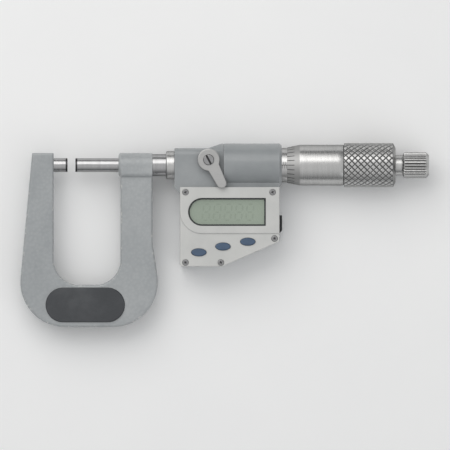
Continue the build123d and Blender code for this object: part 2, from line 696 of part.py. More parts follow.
# ---------------------------------------------------------------- cell, contacts, cap
CELL_Z0, CELL_Z1 = -8.4, -3.0
with BuildPart() as coin_cell:
    with BuildSketch(Plane.XY.offset(CELL_Z0)):
        with Locations((CELL_X, CELL_Y)):
            Circle(5.8)
    extrude(amount=CELL_Z1 - CELL_Z0 - 0.5)
    fillet(edges().group_by(Axis.Z)[0], radius=0.4)
    with BuildSketch(Plane.XY.offset(CELL_Z1 - 0.5)):
        with Locations((CELL_X, CELL_Y)):
            Circle(5.0)
    extrude(amount=0.5)
coin_cell.part.label = "coin_cell"
export_step(coin_cell.part, "parts/coin_cell.step")

# two bent strips: one on the cell's face, one down its side
with BuildPart() as battery_contacts:
    with BuildSketch(Plane.XZ.offset(-CELL_Y - 1.2)):
        with BuildLine():
            Polyline(
                (CELL_X - 3.0, CELL_Z1), (CELL_X + 1.0, CELL_Z1), (CELL_X + 4.0, 0.8),
                (CELL_X + 7.0, 0.8), (CELL_X + 7.0, BOARD_Z0), (CELL_X + 3.85, BOARD_Z0),
                (CELL_X + 0.85, CELL_Z1 + 0.2), (CELL_X - 3.0, CELL_Z1 + 0.2), close=True,
            )
        make_face()
    extrude(amount=2.4)
    with BuildSketch(Plane.XZ.offset(-CELL_Y - 1.2)):
        with BuildLine():
            Polyline(
                (CELL_X + 5.8, -7.4), (CELL_X + 6.0, -7.4), (CELL_X + 6.0, -3.2),
                (CELL_X + 8.6, -3.2), (CELL_X + 8.6, BOARD_Z0), (CELL_X + 8.4, BOARD_Z0),
                (CELL_X + 8.4, -3.0), (CELL_X + 5.8, -3.0), close=True,
            )
        make_face()
    extrude(amount=2.4)
battery_contacts.part.label = "battery_contacts"
export_step(battery_contacts.part, "parts/battery_contacts.step")

with BuildPart() as battery_cap:
    with BuildSketch(Plane.XY.offset(BOX_BACK + 0.12)):
        with Locations((CELL_X, CELL_Y)):
            Circle(7.5)
    extrude(amount=0.86)
    chamfer(edges().group_by(Axis.Z)[0], length=0.15)
    with BuildSketch(Plane.XY.offset(BOX_BACK + 0.9)):
        with Locations((CELL_X, CELL_Y)):
            Circle(5.95)
    extrude(amount=1.6)
    # bayonet lugs behind the ledge
    with BuildSketch(Plane.XY.offset(BOX_BACK + BOX_WALL + 0.08)):
        with Locations((CELL_X, CELL_Y)):
            with PolarLocations(6.2, 2, start_angle=0):
                Rectangle(1.3, 2.6)
    extrude(amount=0.62)
    # groove for the seal
    with BuildSketch(Plane.XY.offset(BOX_BACK + 1.15)):
        with Locations((CELL_X, CELL_Y)):
            Circle(6.0)
            Circle(5.55, mode=Mode.SUBTRACT)
    extrude(amount=0.5, mode=Mode.SUBTRACT)
    # coin slot
    with BuildSketch(Plane.XY.offset(BOX_BACK)):
        with Locations((CELL_X, CELL_Y)):
            Rectangle(10.5, 1.5, rotation=0)
    extrude(amount=0.6, mode=Mode.SUBTRACT)
battery_cap.part.label = "battery_cap"
export_step(battery_cap.part, "parts/battery_cap.step")

with BuildPart() as cap_seal:
    with BuildSketch(Plane.XY.offset(BOX_BACK + 1.15)):
        with Locations((CELL_X, CELL_Y)):
            Circle(6.02)
            Circle(5.55, mode=Mode.SUBTRACT)
    extrude(amount=0.5)
cap_seal.part.label = "cap_seal"
export_step(cap_seal.part, "parts/cap_seal.step")

# ---------------------------------------------------------------- data port
with BuildPart() as data_connector:
    with BuildSketch(Plane.XY.offset(BOARD_Z0)):
        with Locations((95.6, PORT_Y)):
            Rectangle(5.6, 5.4)
    extrude(amount=-1.6)
    with BuildSketch(Plane.XY.offset(BOARD_Z0 - 1.6)):
        with Locations(*[(96.2, PORT_Y + dy) for dy in (-1.8, -0.6, 0.6, 1.8)]):
            Rectangle(4.0, 0.5)
    extrude(amount=-0.15)
data_connector.part.label = "data_connector"
export_step(data_connector.part, "parts/data_connector.step")

# plug-in cover: flange outside, tongue in the opening
with BuildPart() as data_port_cover:
    with BuildSketch(Plane.XY.offset(PORT_Z - 3.1)):
        with BuildLine():
            Polyline(
                (FACE_X1, -23.87), (102.17, -23.87), (102.17, -31.11), (FACE_X1, -32.45),
                close=True,
            )
        make_face()
    extrude(amount=6.2)
    fillet(edges().filter_by(lambda e: abs(e.center().X - 102.17) < 0.01), radius=0.3)
    with BuildSketch(Plane.YZ.offset(FACE_X1)):
        with Locations((PORT_Y, PORT_Z)):
            Rectangle(5.6, 4.4)
            Rectangle(4.0, 2.8, mode=Mode.SUBTRACT)
    extrude(amount=-2.2)
data_port_cover.part.label = "data_port_cover"
export_step(data_port_cover.part, "parts/data_port_cover.step")

# ---------------------------------------------------------------- spindle lock
with BuildPart() as lock_plug:
    with BuildSketch(Plane.XY.offset(3.8)):
        with Locations((LOCK_X, LOCK_Y)):
            Circle(2.4)
    extrude(amount=-2.7)
    with BuildSketch(Plane.YZ.offset(60)):
        Circle(SPINDLE_R + 0.06)
    extrude(amount=16, mode=Mode.SUBTRACT)
lock_plug.part.label = "lock_plug"
export_step(lock_plug.part, "parts/lock_plug.step")

with BuildPart() as lock_stud:
    with BuildSketch(Plane.XY.offset(3.9)):
        with Locations((LOCK_X, LOCK_Y)):
            Circle(2.45)
    extrude(amount=4.0)
    with BuildSketch(Plane.XY.offset(BLOCK_FRONT + 0.2)):
        with Locations((LOCK_X, LOCK_Y)):
            Circle(4.3)
    extrude(amount=9.5 - BLOCK_FRONT - 0.2)
    with BuildSketch(Plane.XY.offset(9.5)):
        with Locations((LOCK_X, LOCK_Y)):
            RegularPolygon(2.2, 6)
    extrude(amount=1.3)
    with BuildSketch(Plane.XY.offset(10.8)):
        with Locations((LOCK_X, LOCK_Y)):
            Circle(1.0)
    extrude(amount=-5.0, mode=Mode.SUBTRACT)
lock_stud.part.label = "lock_stud"
export_step(lock_stud.part, "parts/lock_stud.step")

LEVER_Z0, LEVER_Z1 = 9.5, 11.5
TIP_X, TIP_Y, TIP_R = 73.30, -8.54, 2.48
with BuildPart() as lock_lever:
    with BuildSketch(Plane.XY.offset(LEVER_Z0)):
        with Locations((LOCK_X, LOCK_Y)):
            Circle(5.33)
        with Locations((TIP_X, TIP_Y)):
            Circle(TIP_R)
        with BuildLine():
            Polyline(
                (66.55, -2.0), (71.13, -9.745), (TIP_X, TIP_Y), (75.57, -7.543), (71.9, 1.2),
                (68.5, 1.0), close=True,
            )
        make_face()
        # soft inner corners where the arm leaves the head
        fillet([v for v in vertices() if 66.0 < v.X < 68.2 and -3.4 < v.Y < -1.8], radius=0.8)
        fillet([v for v in vertices() if 71.0 < v.X < 73.2 and -1.0 < v.Y < 2.5], radius=0.8)
    extrude(amount=LEVER_Z1 - LEVER_Z0)
    fillet(edges().group_by(Axis.Z)[-1], radius=0.45)
    with BuildSketch(Plane.XY.offset(10.8)):
        with Locations((LOCK_X, LOCK_Y)):
            Circle(2.6)
    extrude(amount=4, mode=Mode.SUBTRACT)
    with BuildSketch(Plane.XY.offset(LEVER_Z0)):
        with Locations((LOCK_X, LOCK_Y)):
            RegularPolygon(2.2, 6)
    extrude(amount=4, mode=Mode.SUBTRACT)
lock_lever.part.label = "lock_lever"
export_step(lock_lever.part, "parts/lock_lever.step")

with BuildPart() as lock_screw:
    with BuildSketch(Plane.XY.offset(10.8)):
        with Locations((LOCK_X, LOCK_Y)):
            Circle(2.48)
    extrude(amount=1.35)
    fillet(edges().group_by(Axis.Z)[-1], radius=0.35)
    with BuildSketch(Plane.XY.offset(10.8)):
        with Locations((LOCK_X, LOCK_Y)):
            Circle(1.0)
    extrude(amount=-4.8)
    with BuildSketch(Plane.XY.offset(13)):
        with Locations((LOCK_X, LOCK_Y)):
            Rectangle(6.0, 0.9, rotation=-62)
    extrude(amount=-1.5, mode=Mode.SUBTRACT)
lock_screw.part.label = "lock_screw"
export_step(lock_screw.part, "parts/lock_screw.step")

# ---------------------------------------------------------------- sleeves and nut
with BuildPart() as sleeve:
    with BuildSketch(Plane.XY):
        with BuildLine():
            Polyline(
                (98.0, SLEEVE_IN), (98.0, BORE_R), (SLEEVE_X1 - 0.4, BORE_R),
                (SLEEVE_X1, BORE_R - 0.4), (SLEEVE_X1, SLEEVE_IN), close=True,
            )
        make_face()
    revolve(axis=Axis.X)
sleeve.part.label = "sleeve"
export_step(sleeve.part, "parts/sleeve.step")

with BuildPart() as inner_sleeve:
    with BuildSketch(Plane.XY):
        with BuildLine():
            Polyline(
                (95.0, 4.3), (95.0, BORE_R), (98.0, BORE_R), (98.0, SLEEVE_IN), (124.0, SLEEVE_IN),
                (124.0, 5.6), (NUT_X1, 5.6), (NUT_X1, THREAD_R + 0.05), (NUT_X0, THREAD_R + 0.05),
                (NUT_X0, 4.3), close=True,
            )
        make_face()
    revolve(axis=Axis.X)
    # three slits let the adjusting nut close the thread
    with BuildSketch(Plane.YZ.offset(NUT_X1 + 1)):
        with PolarLocations(4.8, 3, start_angle=30):
            Rectangle(4.0, 0.8)
    extrude(amount=-14.0, mode=Mode.SUBTRACT)
inner_sleeve.part.label = "inner_sleeve"
export_step(inner_sleeve.part, "parts/inner_sleeve.step")

with BuildPart() as adjusting_nut:
    with BuildSketch(Plane.XY):
        with BuildLine():
            Polyline(
                (127.0, 5.6), (127.0, 6.3), (127.2, 6.5), (132.8, 6.5), (133.0, 6.3), (133.0, 5.6),
                close=True,
            )
        make_face()
    revolve(axis=Axis.X)
    with BuildSketch(Plane.YZ.offset(133.5)):
        with PolarLocations(6.7, 2):
            Rectangle(1.4, 1.2)
    extrude(amount=-2.0, mode=Mode.SUBTRACT)
adjusting_nut.part.label = "adjusting_nut"
export_step(adjusting_nut.part, "parts/adjusting_nut.step")

# ---------------------------------------------------------------- encoder
with BuildPart() as encoder_stator:
    with BuildSketch(Plane.YZ.offset(80.3)):
        Circle(BORE_R - 0.02)
        Circle(4.3, mode=Mode.SUBTRACT)
    extrude(amount=1.4)
encoder_stator.part.label = "encoder_stator"
export_step(encoder_stator.part, "parts/encoder_stator.step")

with BuildPart() as stator_ring:
    with BuildSketch(Plane.YZ.offset(81.7)):
        Circle(BORE_R)
        Circle(7.1, mode=Mode.SUBTRACT)
        with Locations((0, 7.6)):
            Rectangle(1.6, 2.0, mode=Mode.SUBTRACT)
    extrude(amount=1.0)
stator_ring.part.label = "stator_ring"
export_step(stator_ring.part, "parts/stator_ring.step")

with BuildPart() as encoder_flex:
    with BuildSketch(Plane.XY.offset(0.7)):
        with Locations((81.0, -10.9)):
            Rectangle(1.3, 5.2)
    extrude(amount=0.3)
encoder_flex.part.label = "encoder_flex"
export_step(encoder_flex.part, "parts/encoder_flex.step")

with BuildPart() as rotor_bush:
    with BuildSketch(Plane.XY):
        with BuildLine():
            Polyline(
                (70.6, SPINDLE_R + 0.05), (70.6, 4.2), (70.8, 4.4), (77.3, 4.4), (77.3, 6.2),
                (78.6, 6.2), (78.6, 4.0), (79.6, 4.0), (79.6, SPINDLE_R + 0.05), close=True,
            )
        make_face()
    revolve(axis=Axis.X)
    with BuildSketch(Plane.XY):
        with Locations((74.0, 0)):
            Circle(0.5)
    extrude(amount=8, mode=Mode.SUBTRACT)
rotor_bush.part.label = "rotor_bush"
export_step(rotor_bush.part, "parts/rotor_bush.step")

with BuildPart() as key_pin:
    with BuildSketch(Plane.XY.offset(2.5)):
        with Locations((74.0, 0)):
            Circle(0.5)
    extrude(amount=1.8)
key_pin.part.label = "key_pin"
export_step(key_pin.part, "parts/key_pin.step")

with BuildPart() as encoder_rotor:
    with BuildSketch(Plane.YZ.offset(78.6)):
        Circle(7.8)
        Circle(4.0, mode=Mode.SUBTRACT)
    extrude(amount=1.2)
encoder_rotor.part.label = "encoder_rotor"
export_step(encoder_rotor.part, "parts/encoder_rotor.step")

# ---------------------------------------------------------------- spindle
TH0 = NUT_X0 - OPEN - 0.3      # thread's ends cover the nut over the whole travel
TH1 = NUT_X1 + CLOSE + 0.2
with BuildPart() as spindle:
    with BuildSketch(Plane.XY):
        with BuildLine():
            Polyline(
                (GAP + TIP_T, 0), (GAP + TIP_T, SPINDLE_R), (TH0 - 0.45, SPINDLE_R),
                (TH0, THREAD_R), (TH1 - 0.4, THREAD_R), (TH1, 3.3), (142.6, 3.3),
                (142.6, 5.4), (145.0, 5.4), (145.0, 4.6), (154.0, 4.1), (154.0, 0),
                close=True,
            )
        make_face()
    revolve(axis=Axis.X)
    # keyway that turns the encoder's rotor
    with BuildSketch(Plane.XY.offset(2.4)):
        with Locations((65.3, 0)):
            SlotOverall(26.8, 1.1)
    extrude(amount=4, mode=Mode.SUBTRACT)
    # tapped hole for the ratchet's stem
    with BuildSketch(Plane.YZ.offset(154.5)):
        Circle(2.0)
    extrude(amount=-9.5, mode=Mode.SUBTRACT)
spindle.part.label = "spindle"
export_step(spindle.part, "parts/spindle.step")

with BuildPart() as spindle_tip:
    with BuildSketch(Plane.XY):
        with BuildLine():
            Polyline(
                (GAP, 0), (GAP, SPINDLE_R - 0.08), (GAP + 0.08, SPINDLE_R),
                (GAP + TIP_T, SPINDLE_R), (GAP + TIP_T, 0), close=True,
            )
        make_face()
    revolve(axis=Axis.X)
spindle_tip.part.label = "spindle_tip"
export_step(spindle_tip.part, "parts/spindle_tip.step")

# ---------------------------------------------------------------- thimble
# The diamond knurl is cut between KNURL_X0 and KNURL_X1; here its crest cylinder.
with BuildPart() as thimble:
    with BuildSketch(Plane.XY):
        with BuildLine():
            Polyline(
                (THIMBLE_X0, 8.25), (THIMBLE_X0, 8.45), (110.66, THIMBLE_R),
                (KNURL_X0 - 0.35, THIMBLE_R), (KNURL_X0 - 0.35, THIMBLE_R - 0.25),
                (KNURL_X0, THIMBLE_R - 0.25), (KNURL_X0, KNURL_R - 0.2), (KNURL_X0 + 0.2, KNURL_R),
                (KNURL_X1, KNURL_R), (156.13, 8.1), (156.13, 4.95), (154.0, 4.95), (154.0, 4.1),
                (145.0, 4.6), (145.0, 8.25), close=True,
            )
        make_face()
    revolve(axis=Axis.X)
thimble.part.label = "thimble"
export_step(thimble.part, "parts/thimble.step")

# ---------------------------------------------------------------- ratchet
with BuildPart() as ratchet_stem:
    with BuildSketch(Plane.XY):
        with BuildLine():
            Polyline(
                (146.0, 0), (146.0, 1.7), (146.3, 2.0), (154.0, 2.0), (154.0, 4.88),
                (159.16, 4.88), (159.16, 3.9), (160.9, 3.9), (160.9, 1.6), (168.6, 1.6),
                (168.6, 0), close=True,
            )
        make_face()
    revolve(axis=Axis.X)
    # face teeth that the sliding disc drives
    with BuildSketch(Plane.YZ.offset(160.9)):
        with PolarLocations(3.0, 12):
            Rectangle(2.4, 0.8)
    extrude(amount=-0.5, mode=Mode.SUBTRACT)
    with BuildSketch(Plane.YZ.offset(169.0)):
        Circle(0.9)
    extrude(amount=-6.0, mode=Mode.SUBTRACT)
ratchet_stem.part.label = "ratchet_stem"
export_step(ratchet_stem.part, "parts/ratchet_stem.step")

with BuildPart() as ratchet_disc:
    with BuildSketch(Plane.YZ.offset(161.5)):
        Circle(4.2)
        Circle(1.9, mode=Mode.SUBTRACT)
    extrude(amount=1.3)
    with BuildSketch(Plane.YZ.offset(161.5)):
        with PolarLocations(3.0, 12, start_angle=15):
            Rectangle(1.9, 0.7)
    extrude(amount=-0.5)
ratchet_disc.part.label = "ratchet_disc"
export_step(ratchet_disc.part, "parts/ratchet_disc.step")

SPRING_X0, SPRING_X1, SPRING_R, WIRE_R = 163.1, 166.9, 3.2, 0.28
with BuildPart() as ratchet_spring:
    with BuildLine() as coil:
        Helix(
            pitch=(SPRING_X1 - SPRING_X0) / 4.0, height=SPRING_X1 - SPRING_X0, radius=SPRING_R,
            center=(SPRING_X0, 0, 0), direction=(1, 0, 0),
        )
    with BuildSketch(Plane(origin=coil.line @ 0, z_dir=coil.line % 0)):
        Circle(WIRE_R)
    sweep()
ratchet_spring.part.label = "ratchet_spring"
export_step(ratchet_spring.part, "parts/ratchet_spring.step")

with BuildPart() as ratchet_knob:
    with BuildSketch(Plane.XY):
        with BuildLine():
            Polyline(
                (KNOB_X0, 4.2), (KNOB_X0, 4.95), (160.36, KNOB_R), (170.65, KNOB_R),
                (KNOB_X1, 4.7), (KNOB_X1, 3.1), (170.3, 3.1), (170.3, 1.9), (167.2, 1.9),
                (167.2, 4.2), close=True,
            )
        make_face()
    revolve(axis=Axis.X)
    # straight knurl
    with BuildSketch(Plane.YZ.offset(KNOB_X1 + 0.5)):
        with PolarLocations(KNOB_R, KNOB_FLUTES):
            RegularPolygon(0.52, 4, rotation=0)
    extrude(amount=-(KNOB_X1 - KNOB_X0 + 1.5), mode=Mode.SUBTRACT)
ratchet_knob.part.label = "ratchet_knob"
export_step(ratchet_knob.part, "parts/ratchet_knob.step")

with BuildPart() as ratchet_screw:
    with BuildSketch(Plane.XY):
        with BuildLine():
            Polyline(
                (163.5, 0), (163.5, 0.9), (168.6, 0.9), (168.6, 1.55), (170.6, 1.55), (170.6, 2.75),
                (171.5, 2.75), (171.7, 2.55), (171.7, 0), close=True,
            )
        make_face()
    revolve(axis=Axis.X)
    with BuildSketch(Plane.YZ.offset(172.0)):
        Rectangle(7.0, 0.8)
    extrude(amount=-0.75, mode=Mode.SUBTRACT)
ratchet_screw.part.label = "ratchet_screw"
export_step(ratchet_screw.part, "parts/ratchet_screw.step")
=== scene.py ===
"""Looks of the sheet metal micrometer: finishes, cut knurl, graduations, display, light and camera."""

import json
import math

import bmesh
import bpy
from mathutils import Matrix, Vector


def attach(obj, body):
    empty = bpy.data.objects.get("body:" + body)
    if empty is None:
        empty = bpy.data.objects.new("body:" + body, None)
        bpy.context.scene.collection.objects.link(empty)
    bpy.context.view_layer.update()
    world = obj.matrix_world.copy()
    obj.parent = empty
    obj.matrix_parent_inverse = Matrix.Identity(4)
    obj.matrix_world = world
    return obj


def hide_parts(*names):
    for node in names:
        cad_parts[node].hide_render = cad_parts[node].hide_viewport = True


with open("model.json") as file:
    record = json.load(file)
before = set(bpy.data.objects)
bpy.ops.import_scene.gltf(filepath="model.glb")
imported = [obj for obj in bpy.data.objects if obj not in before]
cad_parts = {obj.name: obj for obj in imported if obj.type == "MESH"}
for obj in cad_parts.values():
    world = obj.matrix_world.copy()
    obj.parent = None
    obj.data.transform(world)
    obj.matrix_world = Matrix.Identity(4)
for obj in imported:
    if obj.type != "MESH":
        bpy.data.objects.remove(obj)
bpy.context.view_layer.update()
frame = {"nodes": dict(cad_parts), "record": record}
nodes = frame["nodes"]
scene = bpy.context.scene
MM = 0.001

# ---------------------------------------------------------------- camera
cam_data = bpy.data.cameras.new("camera")
cam_data.type = "ORTHO"
cam_data.ortho_scale = 0.2142
cam_data.clip_start, cam_data.clip_end = 0.01, 10.0
camera = bpy.data.objects.new("camera", cam_data)
scene.collection.objects.link(camera)
camera.location = (0.07497, -0.02849, 1.0)
camera.rotation_euler = (0.0, 0.0, 0.0)
scene.camera = camera


# ---------------------------------------------------------------- node helpers
class Mat:
    """A node material built in order; coordinates are the row frame in metres."""

    def __init__(self, name):
        self.m = bpy.data.materials.new(name)
        self.m.use_nodes = True
        self.nt = self.m.node_tree
        self.nt.nodes.clear()
        self.out = self.add("ShaderNodeOutputMaterial")
        self.co = self.add("ShaderNodeTexCoord").outputs["Object"]

    def add(self, kind, **props):
        n = self.nt.nodes.new(kind)
        for k, v in props.items():
            setattr(n, k, v)
        return n

    def link(self, a, b):
        self.nt.links.new(a, b)

    def mapped(self, scale, rotation=(0, 0, 0), location=(0, 0, 0)):
        n = self.add("ShaderNodeMapping")
        n.inputs["Scale"].default_value = scale
        n.inputs["Rotation"].default_value = rotation
        n.inputs["Location"].default_value = location
        self.link(self.co, n.inputs["Vector"])
        return n.outputs[0]

    def noise(self, vec, scale, detail=3.0, rough=0.55, distortion=0.0):
        n = self.add("ShaderNodeTexNoise")
        n.inputs["Scale"].default_value = scale
        n.inputs["Detail"].default_value = detail
        n.inputs["Roughness"].default_value = rough
        n.inputs["Distortion"].default_value = distortion
        self.link(vec, n.inputs["Vector"])
        return n.outputs["Fac"]

    def voronoi(self, vec, scale, feature="F1", smooth=0.3):
        n = self.add("ShaderNodeTexVoronoi", feature=feature)
        n.inputs["Scale"].default_value = scale
        if feature == "SMOOTH_F1":
            n.inputs["Smoothness"].default_value = smooth
        self.link(vec, n.inputs["Vector"])
        return n.outputs["Distance"]

    def ramp(self, fac, stops, interp="LINEAR"):
        n = self.add("ShaderNodeValToRGB")
        n.color_ramp.interpolation = interp
        el = n.color_ramp.elements
        while len(el) > 1:
            el.remove(el[-1])
        el[0].position, el[0].color = stops[0][0], _rgba(stops[0][1])
        for p, c in stops[1:]:
            e = el.new(p)
            e.color = _rgba(c)
        self.link(fac, n.inputs[0])
        return n.outputs["Color"]

    def math(self, op, a, b=None, clamp=False):
        n = self.add("ShaderNodeMath", operation=op, use_clamp=clamp)
        for i, v in enumerate((a, b)):
            if v is None:
                continue
            if isinstance(v, (int, float)):
                n.inputs[i].default_value = v
            else:
                self.link(v, n.inputs[i])
        return n.outputs[0]

    def mix(self, fac, a, b, kind="MIX"):
        n = self.add("ShaderNodeMix", data_type="RGBA", blend_type=kind)
        for name, v in (("Factor", fac), ("A", a), ("B", b)):
            sock = [s for s in n.inputs if s.name == name and (name == "Factor" and s.type == "VALUE" or s.type == "RGBA")][0]
            if isinstance(v, (int, float)):
                sock.default_value = v
            elif isinstance(v, tuple):
                sock.default_value = _rgba(v)
            else:
                self.link(v, sock)
        return [o for o in n.outputs if o.type == "RGBA"][0]

    def edges(self, radius_mm, lo=0.05, hi=0.35):
        """0 on flats, rising to 1 near sharp convex and concave edges."""
        bev = self.add("ShaderNodeBevel", samples=6)
        bev.inputs["Radius"].default_value = radius_mm * MM
        geo = self.add("ShaderNodeNewGeometry")
        dot = self.add("ShaderNodeVectorMath", operation="DOT_PRODUCT")
        self.link(bev.outputs[0], dot.inputs[0])
        self.link(geo.outputs["Normal"], dot.inputs[1])
        inv = self.math("SUBTRACT", 1.0, dot.outputs["Value"])
        n = self.add("ShaderNodeMapRange")
        n.inputs["From Min"].default_value = lo
        n.inputs["From Max"].default_value = hi
        self.link(inv, n.inputs["Value"])
        return n.outputs["Result"]

    def ridge(self, y_max):
        """1 on the rounded edges between flat faces and upright walls, below y_max mm; chips start there."""
        sep = self.add("ShaderNodeSeparateXYZ")
        self.link(self.add("ShaderNodeNewGeometry").outputs["Normal"], sep.inputs[0])
        nz = self.math("ABSOLUTE", sep.outputs["Z"])
        between = self.math("MULTIPLY", self.below(nz, 0.90, 0.985), self.math("SUBTRACT", 1.0, self.below(nz, 0.10, 0.35)))
        y = self.math("MULTIPLY", self.axis("Y"), 1000.0)
        return self.math("MULTIPLY", between, self.math("LESS_THAN", y, y_max))

    def axis(self, name):
        sep = self.add("ShaderNodeSeparateXYZ")
        self.link(self.co, sep.inputs[0])
        return sep.outputs[name]

    def radius_x(self):
        """Distance from the spindle's axis, in mm."""
        y, z = self.axis("Y"), self.axis("Z")
        q = self.math("ADD", self.math("MULTIPLY", y, y), self.math("MULTIPLY", z, z))
        return self.math("MULTIPLY", self.math("SQRT", q), 1000.0)

    def below(self, value, lo, hi):
        """1 where value is at or under lo, falling to 0 at hi."""
        n = self.add("ShaderNodeMapRange", interpolation_type="SMOOTHSTEP")
        n.inputs["From Min"].default_value = lo
        n.inputs["From Max"].default_value = hi
        n.inputs["To Min"].default_value = 1.0
        n.inputs["To Max"].default_value = 0.0
        self.link(value, n.inputs["Value"])
        return n.outputs["Result"]

    def finish(self, color, rough, height=None, strength=0.2, distance=0.05, bevel=0.18, **consts):
        """Principled shader with a colour, a roughness and a bump height; consts go on its sockets."""
        p = self.add("ShaderNodeBsdfPrincipled")
        self.link(color, p.inputs["Base Color"])
        self.link(rough, p.inputs["Roughness"])
        for k, v in consts.items():
            p.inputs[k.replace("_", " ")].default_value = v
        normal = None
        if bevel:
            b = self.add("ShaderNodeBevel", samples=6)
            b.inputs["Radius"].default_value = bevel * MM
            normal = b.outputs[0]
        if height is not None:
            bump = self.add("ShaderNodeBump")
            bump.inputs["Strength"].default_value = strength
            bump.inputs["Distance"].default_value = distance * MM
            self.link(height, bump.inputs["Height"])
            if normal is not None:
                self.link(normal, bump.inputs["Normal"])
            normal = bump.outputs[0]
        if normal is not None:
            self.link(normal, p.inputs["Normal"])
        self.link(p.outputs[0], self.out.inputs["Surface"])
        self.m.diffuse_color = (*[0.6] * 3, 1)
        return self.m


def _rgba(c):
    if isinstance(c, (int, float)):
        return (c, c, c, 1.0)
    return (*c, 1.0) if len(c) == 3 else tuple(c)


def gray(v):
    return (v, v, v)


# ---------------------------------------------------------------- materials
def enamel(name, base, dark, light, peel=900.0, rough=(0.30, 0.42), coat=0.25, wear=0.8, y_max=-13.0):
    """Stoved enamel on metal: soft orange peel, faint mottling, thin wear on the edges, and edges painted lighter as
    a highlight.
    """
    m = Mat(name)
    v = m.mapped((1, 1, 1))
    blot = m.noise(v, 55.0, 4.0, 0.6)
    fine = m.noise(v, 2600.0, 2.0, 0.5)
    col = m.ramp(blot, [(0.30, dark), (0.52, base), (0.74, light)])
    col = m.mix(0.10, col, m.ramp(fine, [(0.35, dark), (0.65, light)]))
    # painted highlight, partly rubbed wear: edges within 0.9 mm are mixed toward a lighter tone
    edge_wear_and_highlight = m.edges(0.90, 0.004, 0.10)
    col = m.mix(m.math("MULTIPLY", edge_wear_and_highlight, 0.45), col, tuple(min(1.0, c * 1.22) for c in light))
    edge = m.math("MAXIMUM", m.edges(0.35, 0.02, 0.20), m.ridge(y_max))
    chip = m.ramp(m.noise(v, 640.0, 5.0, 0.72), [(0.575, gray(0.0)), (0.60, gray(1.0))])
    worn = m.math("MULTIPLY", m.math("MULTIPLY", edge, chip), wear, clamp=True)
    col = m.mix(worn, col, (0.58, 0.58, 0.57))
    smear = m.noise(m.mapped((1, 1, 1), location=(0.3, 0.1, 0.2)), 28.0, 5.0, 0.65)
    r = m.ramp(smear, [(0.30, gray(rough[0])), (0.70, gray(rough[1]))])
    h = m.math("ADD", m.noise(v, peel, 2.0, 0.5), m.math("MULTIPLY", m.noise(v, peel * 3.1, 2.0, 0.5), 0.25))
    return m.finish(
        col, r, h, strength=0.42, distance=0.06, bevel=0.12,
        Coat_Weight=coat, Coat_Roughness=0.12, Specular_IOR_Level=0.5,
    )


def hammertone(name, base, dark, light):
    """Hammered enamel of a forged frame: small dished cells under a glossy film, with edges painted lighter as a
    highlight and worn chips.
    """
    m = Mat(name)
    v = m.mapped((1, 1, 1))
    warp = m.noise(v, 500.0, 2.0, 0.5)
    cell = m.voronoi(v, 720.0, "SMOOTH_F1", 0.35)
    blot = m.noise(v, 40.0, 5.0, 0.6)
    col = m.ramp(blot, [(0.28, dark), (0.50, base), (0.76, light)])
    col = m.mix(0.35, col, m.ramp(cell, [(0.10, light), (0.55, base), (0.95, dark)]))
    # painted highlight, partly rubbed wear: edges within 1 mm are mixed toward a lighter tone
    edge_wear_and_highlight = m.edges(1.0, 0.004, 0.12)
    col = m.mix(m.math("MULTIPLY", edge_wear_and_highlight, 0.50), col, tuple(min(1.0, c * 1.25) for c in light))
    edge = m.math("MAXIMUM", m.edges(0.45, 0.02, 0.20), m.ridge(-6.5))
    chip = m.ramp(m.noise(v, 560.0, 6.0, 0.72), [(0.565, gray(0.0)), (0.59, gray(1.0))])
    worn = m.math("MULTIPLY", m.math("MULTIPLY", edge, chip), 0.8, clamp=True)
    col = m.mix(worn, col, (0.62, 0.62, 0.60))
    r = m.ramp(m.noise(v, 24.0, 5.0, 0.65), [(0.30, gray(0.27)), (0.72, gray(0.40))])
    h = m.math("ADD", cell, m.math("MULTIPLY", warp, 0.4))
    return m.finish(
        col, r, h, strength=0.85, distance=0.16, bevel=0.15,
        Coat_Weight=0.35, Coat_Roughness=0.10,
    )


